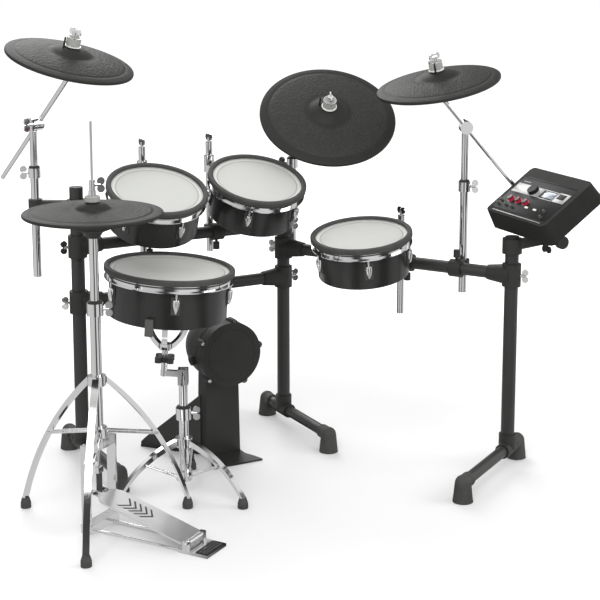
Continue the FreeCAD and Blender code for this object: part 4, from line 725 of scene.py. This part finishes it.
def turn(degrees: float) -> Matrix:
    """A turn about Z."""
    return Matrix.Rotation(math.radians(degrees), 4, "Z")


def step(x: float, y: float, z: float = 0.0) -> Matrix:
    """A shift in millimetres."""
    return Matrix.Translation(Vector((x, y, z)) * MM)


def bend(points: list[Point], end: Point, bulge: float, steps: int) -> None:
    """Leads an outline on along a shallow round curve.

    Args:
        points: the outline so far.
        end: the curve's last point.
        bulge: height of the curve over its chord, to the left of the way, in millimetres.
        steps: how many points the curve gets.
    """
    start = points[-1]
    chord = Vector((end[0] - start[0], end[1] - start[1]))
    left = Vector((-chord.y, chord.x)).normalized()
    for number in range(1, steps + 1):
        share = number / steps
        spot = Vector(start) + chord * share + left * (bulge * 4.0 * share * (1.0 - share))
        points.append((spot.x, spot.y))


class Slot(Enum):
    """Material slots of the record, named for the pieces here but not set on them."""

    CHROME = "chrome"
    PLASTIC = "black_plastic"
    RUBBER = "rubber"
    MESH = "mesh"
    SHELL = "shell_lacquer"
    CONTROL = "control_plastic"
    SCREEN = "screen"


def dress(piece: Piece, finish: Material, body: str, slot: Slot, *nodes: str) -> None:
    """Gives a piece its material and body, and hides the CAD nodes that it stands for.

    Args:
        piece: the finished piece.
        finish: its material.
        body: the body that it rides on.
        slot: the record's material slot; not used.
        nodes: the CAD nodes that it replaces.
    """
    piece.data.materials.clear()
    piece.data.materials.append(finish)
    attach(piece, body)
    if nodes:
        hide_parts(*nodes)
    LOG.info("%s rides on %s", piece.name, body)


def spread(piece: Piece, places: Sequence[Matrix], finish: Material, body: str, slot: Slot) -> None:
    """Copies a piece that was modelled at the origin and dresses the copies, each with its own mesh.

    Args:
        piece: the model, which is used up.
        places: where the copies go.
        finish: their material.
        body: the body that they ride on.
        slot: the record's material slot.
    """
    for number, place in enumerate(places, start=1):
        deselect()
        piece.select_set(True)
        bpy.context.view_layer.objects.active = piece
        bpy.ops.object.duplicate(linked=False)
        copy = bpy.context.active_object
        copy.name = copy.data.name = f"{piece.name}_{number}"
        dress(settle(copy, place), finish, body, slot)
    deselect()
    piece.select_set(True)
    bpy.ops.object.delete()


def coat(finish: Material, *names: str) -> None:
    """Puts a finish on CAD nodes that stay in view.

    Args:
        finish: the material.
        names: the nodes.
    """
    for name in names:
        mesh = frame["nodes"][name].data
        mesh.materials.clear()
        mesh.materials.append(finish)


class Stock:
    """The finishes that many pieces share."""

    def __init__(self) -> None:
        """Makes each shared material once."""
        plastic = Coating("black_plastic", (0.016, 0.0165, 0.0145), (0.025, 0.0255, 0.023), (22.0, 4.0),
                          (1600.0, 2.0), 0.46, relief_rough=0.14, bump=0.2, shine=0.3)
        self.plastic = plastic.make()
        self.control = replace(plastic, name="control_plastic", tint=grey(0.010), lift=grey(0.018),
                               rough=0.36, bump=0.08, shine=0.1).make()
        self.case = replace(plastic, name="case_plastic", tint=(0.012, 0.0125, 0.011),
                            lift=(0.018, 0.0185, 0.0165), rough=0.5, shine=0.08).make()
        self.grey = replace(plastic, name="grey_plastic", tint=(0.05, 0.05, 0.048),
                            lift=(0.075, 0.075, 0.072), rough=0.42, bump=0.1).make()
        self.chrome = Coating("chrome_plate", grey(0.80), grey(0.704), (9.0, 4.0), (60.0, 2.0), 0.045,
                              cloud_rough=0.06, relief_rough=0.03, bump=0.04, depth=0.0004, metal=1.0).make()
        self.paint = Coating("black_powder_coat", (0.014, 0.0145, 0.013), (0.022, 0.0225, 0.0205),
                             (14.0, 5.0), (900.0, 2.0), 0.36, cloud_rough=0.1, relief_rough=0.06, bump=0.12,
                             depth=0.0004).make()
        self.rubber = Coating("foot_rubber", (0.017, 0.017, 0.016), (0.05, 0.05, 0.047), (35.0, 6.0, 0.62),
                              (700.0, 3.0), 0.62, cloud_rough=0.2, bump=0.2).make()
        self.lacquer = Coating("shell_lacquer", (0.008, 0.008, 0.0075), (0.014, 0.014, 0.013), (7.0, 4.0),
                               (40.0, 2.0), 0.24, cloud_rough=0.08, bump=0.03, depth=0.0006).make()
        self.felt = Coating("grey_felt", (0.17, 0.17, 0.16), (0.36, 0.36, 0.34), (90.0, 3.0),
                            (420.0, 6.0, 0.7), 0.9, relief_rough=-0.1, bump=0.6, depth=0.001,
                            share=0.7).make()
        self.nylon = Coating("white_nylon", (0.72, 0.72, 0.70), (0.6, 0.6, 0.58), (60.0, 4.0), (60.0, 4.0),
                             0.35, cloud_rough=0.15).make()
        self.red = Lamp("knob_red_glow", (0.30, 0.012, 0.035), 0.3).make()


# Sub-assemblies, with lengths in millimetres and angles in degrees


@dataclass
class CymbalPad:
    """A rubber cymbal pad with its hardware on top."""

    prefix: str
    radius: float
    stock: Stock
    bell: float = 56.0
    top: float = 17.4
    foot: float = 2.0
    drop: float = 18.0
    hole: float = 8.4
    wall: float = 5.4
    pin_reach: float = 27.0
    washer_gap: float = 1.2
    felt_gap: float = 3.85

    def place(self) -> Matrix:
        """Finds the pad's rocking centre in the frame.

        Returns:
            The centre, with Z along the stem.
        """
        rock = joint(f"{self.prefix}_rock")
        centre = Vector(rock["pos_m"])
        knuckle = Vector(joint(f"{self.prefix}_tilter_tilt")["pos_m"])
        return basis(centre, centre - knuckle, Vector(rock["axis"]))

    def outline(self) -> list[Point]:
        """Draws the bell, the hammered bow, the edge band and the hollow underside.

        Returns:
            The pad's section.
        """
        r = self.radius
        low = self.foot - self.drop
        points: list[Point] = [(self.hole, self.top - self.wall), (self.hole, self.top - 0.6)]
        points.append((self.hole + 0.8, self.top))
        bend(points, (self.bell - 3, self.foot + 1.2), 3.4, 10)
        points.append((self.bell, self.foot))
        bend(points, (r - 24, low + 4.2), 2.2, 10)
        points += [(r - 22.5, low + 3.4), (r - 21.5, low + 3.5)]
        bend(points, (r - 4, low), 0.6, 4)
        bend(points, (r, low - 4.8), 1.6, 5)
        bend(points, (r - 4, low - 9.6), 1.6, 5)
        points += [(r - 9, low - 9.4), (r - 16, low - 6.8)]
        bend(points, (self.bell + 4, self.foot - 6.8), -2.0, 6)
        points += [(self.bell - 6, self.foot - 5.4)]
        bend(points, (self.hole, self.top - self.wall), -3.0, 6)
        return points

    def pin_angle(self, place: Matrix) -> float:
        """Where the stop pin stands round the stem, read off the solid.

        Args:
            place: the pad's place.

        Returns:
            The angle in degrees.
        """
        back = place.inverted()
        spots = [back @ corner.co for corner in frame["nodes"][f"{self.prefix}_pad"].data.vertices]
        tip = max(spot.z for spot in spots)
        middle = sum((spot for spot in spots if spot.z > tip - MM), Vector())
        return math.degrees(math.atan2(middle.y, middle.x))

    def build(self) -> None:
        """The pad, its stop pin, and the washer and felt over it."""
        place = self.place()
        body, tilter = f"{self.prefix}_pad", f"{self.prefix}_tilter"
        finish = CymbalRubber(f"{self.prefix}_rubber", place, self.radius * MM).make()
        pin_place = place @ turn(self.pin_angle(place)) @ step(self.pin_reach, 0.0)
        pad = lathe(f"{self.prefix}_playing_pad", self.outline(), place, FINE)
        dress(pad, finish, body, Slot.RUBBER, body)
        pin = lathe(f"{self.prefix}_stop_pin", [
            (0.0, 12.6), (2.4, 12.6), (2.4, 40.0), (1.9, 42.2), (0.9, 43.2), (0.0, 43.4)], pin_place, 20)
        dress(pin, self.stock.control, body, Slot.RUBBER)
        foot = self.top + self.felt_gap
        felt = lathe(f"{self.prefix}_felt_cushion", [
            (4.3, foot), (16.4, foot), (18.0, foot + 1.4), (18.25, foot + 11), (18.0, foot + 20.6),
            (16.4, foot + 22.02), (4.3, foot + 22.02), (4.3, foot)], place, SMALL)
        dress(felt, self.stock.felt, tilter, Slot.MESH)
        foot = self.top + self.washer_gap
        washer = lathe(f"{self.prefix}_nylon_washer", [
            (18.3, foot + 0.02), (20.4, foot + 0.02), (21.2, foot + 0.7), (21.2, foot + 1.9),
            (20.4, foot + 2.6), (18.3, foot + 2.6), (18.3, foot + 0.02)], place, SMALL)
        dress(washer, self.stock.nylon, tilter, Slot.MESH)


@dataclass
class DrumPad:
    """A round pad with a mesh head, rubber rim and lacquered shell."""

    prefix: str
    body: str
    centre: Vector
    lean: float
    lean_way: Vector
    outward: Vector
    radius: float
    depth: float
    first_lug: float
    stock: Stock
    lugs: int = LUGS
    rim_inside: float = 1.0
    rim_outside: float = 14.5
    skirt: float = 6.3
    rim_top: float = 10.0
    rim_foot: float = -4.0

    def place(self) -> Matrix:
        """Places the head.

        Returns:
            The head's centre, with Z along the drum.
        """
        angle = math.radians(self.lean)
        axis = UP * math.cos(angle) + self.lean_way * math.sin(angle)
        return basis(self.centre, axis, self.outward)

    def ring(self, seat: Matrix) -> list[Matrix]:
        """Places at the lugs.

        Args:
            seat: the place of a lug that lies along X.

        Returns:
            One place for each lug.
        """
        angles = [self.first_lug + 360.0 * number / self.lugs for number in range(self.lugs)]
        return [self.place() @ turn(angle) @ seat for angle in angles]

    def build(self) -> None:
        """Shell, rubber rim, head, hoop line, and the lugs' gaskets and casings."""
        place = self.place()
        stock = self.stock
        mesh = MeshHead(f"{self.prefix}_mesh", place, self.radius * MM).make()
        for name, outline, finish, slot, nodes in (
                ("lacquer_shell", self.shell(), stock.lacquer, Slot.SHELL, [f"{self.prefix}_shell"]),
                ("rubber_rim", self.rim(), stock.rubber, Slot.RUBBER, []),
                ("mesh_head", self.head(), mesh, Slot.MESH, [f"{self.prefix}_head"]),
                ("hoop_line", self.hoop_line(), stock.rubber, Slot.RUBBER, [])):
            dress(lathe(f"{self.prefix}_{name}", outline, place, FINE), finish, self.body, slot, *nodes)
        gasket = slab(f"{self.prefix}_lug_gasket", (46.0, 23.0, 2.2), Matrix(), 1.0)
        seat = step(self.radius - 0.6, 0.0, -54.0) @ Matrix.Rotation(math.pi / 2, 4, "Y")
        spread(gasket, self.ring(seat), stock.rubber, self.body, Slot.RUBBER)
        casing = lathe(f"{self.prefix}_lug_casing", [
            (0.0, -35.6), (4.6, -35.8), (7.6, -37.6), (8.9, -41.0), (9.2, -46.0), (8.6, -53.0), (6.8, -61.0),
            (4.4, -68.0), (2.2, -72.0), (0.0, -73.0)], Matrix(), 28)
        spread(casing, self.ring(step(self.radius + 4.4, 0.0)), stock.chrome, self.body, Slot.CHROME)

    def shell(self) -> list[Point]:
        """Draws the lacquered cup with its rounded foot.

        Returns:
            The shell's section.
        """
        r, d = self.radius, self.depth
        points: list[Point] = [(0.0, 4.0 - d), (r - 30, 4.0 - d), (r - 27, -d), (r - 4.0, -d)]
        bend(points, (r, 4.0 - d), -1.2, 5)
        return points + [(r, -30.0), (r, -0.8), (r - 6.0, -0.8), (r - 6.0, -20.0)]

    def rim(self) -> list[Point]:
        """Draws the soft rim over the hoop.

        Returns:
            The rim's section.
        """
        inner, outer, skirt = (self.radius + part for part in (self.rim_inside, self.rim_outside, self.skirt))
        top, foot = self.rim_top, self.rim_foot
        points: list[Point] = [(skirt, foot), (outer - 1.4, foot)]
        bend(points, (outer, foot + 1.4), -0.4, 3)
        points.append((outer, top - 4.0))
        bend(points, (outer - 4.0, top), -1.2, 6)
        points.append((inner + 4.0, top))
        bend(points, (inner, top - 4.0), -1.2, 6)
        return points + [(inner, 2.4), (skirt, 2.4), (skirt, foot)]

    def head(self) -> list[Point]:
        """Draws the stretched mesh head, a little crowned at its edge.

        Returns:
            The head's section.
        """
        r = self.radius
        return [(0.0, 0.0), (r * 0.5, 0.0), (r - 4.0, 0.0), (r + 2.0, -0.15), (r + 3.4, -0.9),
                (r + 3.5, -8.0), (r + 0.4, -8.0), (r + 0.4, -0.8), (0.0, -0.8)]

    def hoop_line(self) -> list[Point]:
        """Section of the dark gap between the two turns of the hoop."""
        r = self.radius + 6.2
        return [(r, -11.2), (r + 0.5, -11.0), (r + 0.5, -7.8), (r, -7.6), (r, -11.2)]

    def clip(self, degrees: float) -> None:
        """The jack clip low on the shell's side.

        Args:
            degrees: where it sits round the drum.
        """
        spot = self.place() @ turn(degrees) @ step(self.radius + 5.6, 0.0, -132.0)
        box = slab(f"{self.prefix}_jack_clip", (10.6, 20.0, 43.0), spot, 1.6)
        dress(box, self.stock.grey, self.body, Slot.PLASTIC)


@dataclass
class HihatPad:
    """The pad on the hi-hat rod."""

    stock: Stock
    radius: float = 165.0
    edge: float = 769.0
    bore: float = 3.4
    felt_foot: float = 28.0

    def build(self) -> None:
        """The pad, replaced as one turned piece, and the felt over it."""
        place = Matrix.Translation(kit(*HIHAT, 0.0))
        r, e, bore = self.radius, self.edge, self.bore
        points: list[Point] = [(bore, e + 4), (bore, e + 25.4), (bore + 1.0, e + 26)]
        bend(points, (42.0, e + 12.6), 5.6, 10)
        points.append((45.0, e + 11.6))
        bend(points, (r - 24, e + 5.6), 1.6, 8)
        points += [(r - 22.5, e + 4.8), (r - 21.5, e + 4.9)]
        bend(points, (r - 4, e + 3.6), 0.4, 4)
        bend(points, (r, e - 0.4), 1.2, 4)
        bend(points, (r - 4, e - 4.8), 1.2, 4)
        points += [(r - 18, e - 4), (44.0, e + 4), (bore, e + 4)]
        finish = CymbalRubber("hihat_rubber", place @ step(0.0, 0.0, e), r * MM).make()
        dress(lathe("hihat_playing_pad", points, place, FINE), finish, "hihat_rod", Slot.RUBBER, "hihat_pad")
        foot = e + self.felt_foot
        felt = lathe("hihat_felt_cushion", [
            (bore, foot - 2), (12.0, foot - 2), (12.0, foot), (16.4, foot), (18.0, foot + 1.4),
            (18.0, foot + 12.4), (16.4, foot + 13.9), (bore, foot + 13.9), (bore, foot - 2)], place, SMALL)
        dress(felt, self.stock.felt, "hihat_rod", Slot.MESH)


@dataclass
class HihatPedal:
    """The footboard's grip marks and the heel's rubber."""

    stock: Stock
    bearing: float = -57.0
    hinge: Point = (268.0, 20.0)
    heel: Point = (310.5, 7.05)
    slope: float = 14.5
    marks: int = 5
    first: float = 118.0
    pitch: float = 16.0
    lift: float = 2.52
    half: float = 24.0
    rise: float = 20.0
    wide: float = 5.6
    ribs: int = 4
    first_rib: float = -14.0
    rib_pitch: float = 8.0

    def spot(self, reach: float, height: float) -> Vector:
        """A point on the pedal's middle line, by its reach from the rod and its height."""
        return kit(*HIHAT, height) + heading(self.bearing) * (reach * MM)

    def board(self) -> Matrix:
        """Places the footboard.

        Returns:
            Its hinge, with X up the board and Z out of it.
        """
        way = heading(self.bearing)
        angle = math.radians(self.slope)
        toward = UP * math.sin(angle) - way * math.cos(angle)
        normal = UP * math.cos(angle) + way * math.sin(angle)
        return basis(self.spot(*self.hinge), normal, toward)

    def build(self) -> None:
        """Five chevrons on the board, and a ribbed mat on the heel plate."""
        board = self.board()
        coat(Brushed("footboard_satin", board, grey(0.80), grey(0.66), 0.9).make(), "hihat_footboard")
        half, rise, wide = self.half, self.rise, self.wide
        model = cutout("footboard_chevron", [
            (0.0, 0.0), (rise, -half), (rise + wide, -half), (wide, 0.0), (rise + wide, half), (rise, half)],
            0.5, Matrix())
        places = [board @ step(self.first + self.pitch * number, 0.0, self.lift)
                  for number in range(self.marks)]
        spread(model, places, self.stock.rubber, "hihat_footboard", Slot.RUBBER)
        heel = basis(self.spot(*self.heel), UP, heading(self.bearing))
        model = slab("heel_rib", (4.6, 70.0, 1.1), Matrix(), 0.5)
        places = [heel @ step(self.first_rib + self.rib_pitch * number, 0.0) for number in range(self.ribs)]
        spread(model, places, self.stock.rubber, "stand", Slot.RUBBER)


@dataclass
class KickPad:
    """The kick tower's playing face."""

    stock: Stock
    centre: Spot = (350.0, -205.0, 297.0)
    radius: float = 76.0
    rim: float = 87.0
    seam: float = -40.0
    first_lug: float = -8.0

    def build(self) -> None:
        """The rubber face with its groove, the housing's seam and the lugs' screws."""
        place = basis(kit(*self.centre), DRUMMER, UP)
        r, rim, seam = self.radius, self.rim, self.seam
        points: list[Point] = [(0.0, 2.6)]
        bend(points, (r - 10.0, 1.2), 0.4, 6)
        points += [(r - 9.0, 0.2), (r - 6.6, 0.2), (r - 5.6, 1.2), (r - 1.0, 0.9), (r, 0.0)]
        points += [(r, -11.6), (0.0, -11.6)]
        face = lathe("kick_playing_face", points, place, FINE)
        dress(face, self.stock.plastic, "stand", Slot.RUBBER, "kick_pad")
        line = lathe("kick_housing_seam", [
            (rim - 1.4, seam), (rim - 0.1, seam), (rim - 0.1, seam - 2.0), (rim - 1.6, seam - 2.0),
            (rim - 1.4, seam)], place, FINE)
        dress(line, self.stock.rubber, "stand", Slot.PLASTIC)
        model = lathe("kick_lug_screw", [
            (0.0, 1.2), (2.2, 1.2), (2.6, 2.2), (4.6, 2.2), (5.2, 1.4), (5.2, 0.05)], Matrix(), 24)
        angles = [self.first_lug - 360.0 * number / LUGS for number in range(LUGS)]
        places = [place @ turn(angle) @ step(rim + 3.0, 0.0, -4.0) for angle in angles]
        spread(model, places, self.stock.chrome, "stand", Slot.CHROME)


@dataclass
class StandTrim:
    """Black bushings where the stands' upper tubes slide, by bore and outer radius."""

    stock: Stock
    pole: Point = (9.65, 14.2)
    stand: Point = (11.2, 17.2)

    def build(self) -> None:
        """A bushing on top of each lower tube."""
        for name, spot, (bore, outer) in (
                ("left_crash_bushing", (-93.0, 57.0, 800.0), self.pole),
                ("ride_bushing", (660.0, 28.0, 772.0), self.pole),
                ("right_crash_bushing", (936.0, -430.0, 752.0), self.pole),
                ("hihat_bushing", (*HIHAT, 555.0), self.stand),
                ("snare_bushing", (138.0, -363.0, 230.0), self.stand)):
            ring = lathe(name, [
                (bore, 0.05), (outer, 0.05), (outer, 3.4), (outer - 1.4, 5.0), (bore + 1.2, 6.0), (bore, 5.2),
                (bore, 0.05)], Matrix.Translation(kit(*spot)), SMALL)
            dress(ring, self.stock.plastic, "stand", Slot.PLASTIC)


@dataclass
class SoundModule:
    """The module's panel and lit controls."""

    stock: Stock
    centre: Spot = (1012.0, -651.0, 742.0)
    bearing: float = -92.8
    slope: float = 34.7
    knob_row: float = -33.0

    def face(self) -> Matrix:
        """Places the panel.

        Returns:
            Its middle, with X across it and Z out of it.
        """
        across = heading(self.bearing)
        back = UP.cross(across)
        angle = math.radians(self.slope)
        normal = UP * math.cos(angle) - back * math.sin(angle)
        return basis(kit(*self.centre), normal, across)

    def build(self) -> None:
        """Panel, silver fields, screen and controls."""
        face = self.face()
        brushed = Brushed("panel_silver", face).make()
        gloss = self.stock.control
        spot = face @ step(37.0, 11.0, 0.75)
        screen = slab("module_display_glass", (46.0, 22.0, 0.5), spot, 0.15, 2)
        dress(screen, Display("module_display", spot).make(), "module", Slot.SCREEN, "module_screen")
        for name, middle, size, finish in (
                ("panel_glass", (0.0, -11.0, 0.01), (238.0, 122.0, 0.35), gloss),
                ("title_field", (-58.0, 10.5, 0.3), (114.0, 33.0, 0.7), brushed),
                ("pad_field", (90.0, 12.0, 0.3), (46.0, 34.0, 0.7), brushed),
                ("pad_window", (87.0, 15.5, 0.9), (30.0, 18.0, 0.5), gloss),
                ("frame_top", (33.0, 26.0, 0.3), (64.0, 2.4, 0.8), brushed),
                ("frame_foot", (33.0, -5.0, 0.3), (64.0, 2.4, 0.8), brushed),
                ("frame_left", (2.4, 10.5, 0.3), (2.6, 28.4, 0.8), brushed),
                ("frame_right", (63.8, 10.5, 0.3), (2.4, 28.4, 0.8), brushed),
                ("short_line", (-89.5, 36.0, 0.3), (31.0, 1.6, 0.5), brushed),
                ("lower_line", (0.0, -81.0, 0.02), (214.0, 2.2, 0.9), brushed),
                ("upper_ridge", (0.0, 52.0, 0.02), (212.0, 3.0, 1.2), gloss)):
            trim = slab(f"module_{name}", size, face @ step(*middle), min(size) * 0.3, 2)
            dress(trim, finish, "module", Slot.CONTROL)
        knob = lathe("module_trim_knob", [
            (4.6, 0.05), (4.6, 0.8), (3.7, 1.4), (3.4, 6.2), (2.8, 7.0), (0.0, 7.0)], Matrix(), 28)
        places = [face @ step(*spot) for spot in (
            (-110.0, -45.0), (-110.0, -58.0), (-78.0, -56.0), (-49.0, -57.0), (81.0, -43.0), (89.0, -63.0))]
        spread(knob, places, self.stock.grey, "module", Slot.CONTROL)
        self.lights(face)

    def lights(self, face: Matrix) -> None:
        """The glow of the three lit knobs and of the two buttons.

        Args:
            face: the panel's place.
        """
        white = Lamp("button_white_glow", (0.62, 0.62, 0.58), 0.25).make()
        coat(white, "module_button_left", "module_button_right")
        for side, x in (("left", -80.0), ("middle", -47.0), ("right", -14.0)):
            spot = face @ step(x, self.knob_row)
            coat(LitKnob(f"knob_glow_{side}", spot).make(), f"module_knob_{side}")
            halo = lathe(f"module_knob_halo_{side}", [
                (8.4, 0.05), (10.6, 0.05), (10.2, 0.5), (8.6, 0.5), (8.4, 0.05)], spot, 40)
            dress(halo, self.stock.red, "module", Slot.CONTROL)


@dataclass
class Studio:
    """Floor, light and camera, in metres.

    The cards are what polished pieces mirror.
    """

    eye: Vector = Vector((-1.7795, -3.4454, 1.4502))
    azimuth: float = -28.53
    pitch: float = 10.29
    lens: float = 91.19
    shift: float = -0.18
    # Floor base colours and glows, near the kit and far out: the darker, dimmer floor near the kit is painted
    # shade.
    painted_shade_tones: Point = (0.65, 0.93)
    painted_shade_glows: Point = (0.1, 1.0)
    painted_shade_fade: Point = (1.5, 0.9)
    cards: tuple = tuple((place, grey(tone)) for place, tone in (
        (0.0, 0.9), (0.14, 0.8), (0.2, 0.05), (0.3, 0.08), (0.38, 1.0), (0.62, 1.0), (0.7, 0.04), (0.8, 0.05),
        (0.87, 0.85), (1.0, 0.95)))

    def build(self) -> None:
        """Sets the stage, the lights and the camera."""
        bpy.context.scene.view_settings.view_transform = "Standard"
        self.floor()
        self.sky()
        self.lights()
        self.camera()

    def floor(self) -> None:
        deselect()
        bpy.ops.mesh.primitive_plane_add(size=30.0, location=(0, 0, -0.0005))
        floor = bpy.context.active_object
        floor.name = "studio_floor"
        graph = Graph("studio_floor")
        x, y, _ = graph.split(graph.place())
        reach = (x * x + y * y + 0.01).root()
        # The floor's base colour and glow rise from near the kit to far out: painted shade round the kit,
        # fading to an even white floor.
        clear_of_painted_shade = reach.above(*self.painted_shade_fade)
        pale = graph.node("ShaderNodeBsdfPrincipled", {}, {
            "Base Color": graph.mix(clear_of_painted_shade, *map(grey, self.painted_shade_tones)), "Roughness": 0.6,
            "Emission Color": graph.mix(clear_of_painted_shade, *map(grey, self.painted_shade_glows)), "Emission Strength": 0.2})
        cards = graph.node("ShaderNodeValToRGB", {"stops": self.cards}, {0: x / reach * 0.5 + 0.5})
        dim = graph.node("ShaderNodeEmission", {}, {"Color": cards, "Strength": 0.8})
        floor.data.materials.append(graph.mirrored(pale, dim))

    def sky(self) -> None:
        """White surroundings, with bright and dark bands for what is polished to reflect."""
        graph = Graph("studio_surround", world=True)
        x, _, _ = graph.split(graph.node("ShaderNodeTexCoord", {}, {}, "Generated"))
        cards = graph.node("ShaderNodeValToRGB", {"stops": self.cards}, {0: x * 0.5 + 0.5})
        bright = graph.node("ShaderNodeBackground", {}, {"Color": (*grey(1.0), 1.0)})
        dim = graph.node("ShaderNodeBackground", {}, {"Color": cards})
        bpy.context.scene.world = graph.mirrored(bright, dim)

    @staticmethod
    def lights() -> None:
        """Large soft lights, by place, aim, side in metres and power in watts."""
        for name, spot, aim, size, power in (
                ("key_softbox", (-2.6, -3.2, 4.2), (0.0, 0.0, 0.5), 3.2, 190.0),
                ("fill_softbox", (3.6, -2.6, 2.6), (0.1, 0.0, 0.5), 2.4, 75.0),
                ("back_softbox", (0.6, 3.8, 3.6), (0.0, 0.0, 0.6), 3.0, 120.0)):
            lamp = bpy.data.lights.new(name, "AREA")
            lamp.size = size
            lamp.energy = power
            item = bpy.data.objects.new(name, lamp)
            bpy.context.scene.collection.objects.link(item)
            item.location = spot
            item.rotation_euler = (Vector(aim) - Vector(spot)).to_track_quat("-Z", "Y").to_euler()

    def camera(self) -> None:
        """The photograph's viewpoint."""
        lens = bpy.data.cameras.new("photo_camera")
        lens.lens = self.lens
        lens.sensor_width = 36.0
        lens.shift_y = self.shift
        lens.clip_end = 60.0
        item = bpy.data.objects.new("photo_camera", lens)
        bpy.context.scene.collection.objects.link(item)
        item.location = self.eye
        item.rotation_euler = (math.radians(90.0 - self.pitch), 0.0, math.radians(self.azimuth))
        bpy.context.scene.camera = item


def basket_finish() -> Material:
    """Plates the snare's basket and blackens the knob under its hub.

    Returns:
        The material.
    """
    lean = math.radians(SNARE_LEAN)
    way = heading(SNARE_HEADING)
    axis = UP * math.cos(lean) - way * math.sin(lean)
    hub = kit(*SNARE) - axis * ((SNARE_DEPTH + HUB_DROP) * MM)
    return KnobOnChrome("basket_plate", basis(hub, axis, way), 0.0081, -0.0312, -0.0168).make()


def dress_solids(stock: Stock) -> None:
    """Puts finishes on the solids that stay in view.

    Args:
        stock: the shared finishes.
    """
    coat(stock.paint, "rack_legs", "rack_foot_tubes", "rack_bars", "kick_tower")
    coat(stock.plastic, "rack_castings", "mount_clamps", "mount_knobs", "module_bracket", "kick_housing",
         "hihat_seat")
    coat(stock.case, "module_case")
    coat(stock.rubber, "rubber_feet", "hihat_belt")
    coat(stock.control, "module_dial")
    coat(stock.chrome, "rack_wing_bolts", "lower_tubes", "tripod_legs", "tripod_braces", "stand_collars",
         "hihat_pedal_base", "hihat_rod", "hihat_upper_tube", "snare_stand_upper", "snare_hoop")
    for tom in ("left_tom", "right_tom", "floor_tom"):
        coat(stock.chrome, f"{tom}_hoop", f"{tom}_post")
    for cymbal in ("left_crash", "ride", "right_crash"):
        coat(stock.chrome, f"{cymbal}_upper_tube", f"{cymbal}_boom", f"{cymbal}_tilter")
    coat(basket_finish(), "snare_basket")


def build_drums(stock: Stock) -> None:
    """The three toms and the snare.

    Args:
        stock: the shared finishes.
    """
    inward = Vector((-0.847, -0.532, 0.0)).normalized()
    for prefix, centre, lean, lean_way, post, first in (
            ("left_tom", (167.0, -149.0, 749.0), 21.0, DRUMMER, (206.0, 42.0), 60.0),
            ("right_tom", (456.0, -153.0, 751.0), 21.0, DRUMMER, (406.0, 42.0), 60.0),
            ("floor_tom", (632.0, -405.0, 629.5), 9.0, inward, (787.0, -353.0), 12.0)):
        outward = Vector((post[0] - centre[0], post[1] - centre[1], 0.0)).normalized()
        DrumPad(prefix, f"{prefix}_drum", kit(*centre), lean, lean_way, outward, TOM_RADIUS, TOM_DEPTH, first,
                stock).build()
    way = heading(SNARE_HEADING)
    snare = DrumPad("snare", "snare_drum", kit(*SNARE), SNARE_LEAN, -way, way, SNARE_RADIUS, SNARE_DEPTH,
                    29.0, stock)
    snare.build()
    snare.clip(78.0)


def main() -> None:
    """Builds every sub-assembly in order."""
    logging.basicConfig(level=logging.INFO)
    stock = Stock()
    Studio().build()
    dress_solids(stock)
    for prefix, radius in (("left_crash", 165.0), ("ride", 190.0), ("right_crash", 165.0)):
        CymbalPad(prefix, radius, stock).build()
    HihatPad(stock).build()
    HihatPedal(stock).build()
    build_drums(stock)
    KickPad(stock).build()
    StandTrim(stock).build()
    SoundModule(stock).build()


if __name__ == "__main__":
    main()
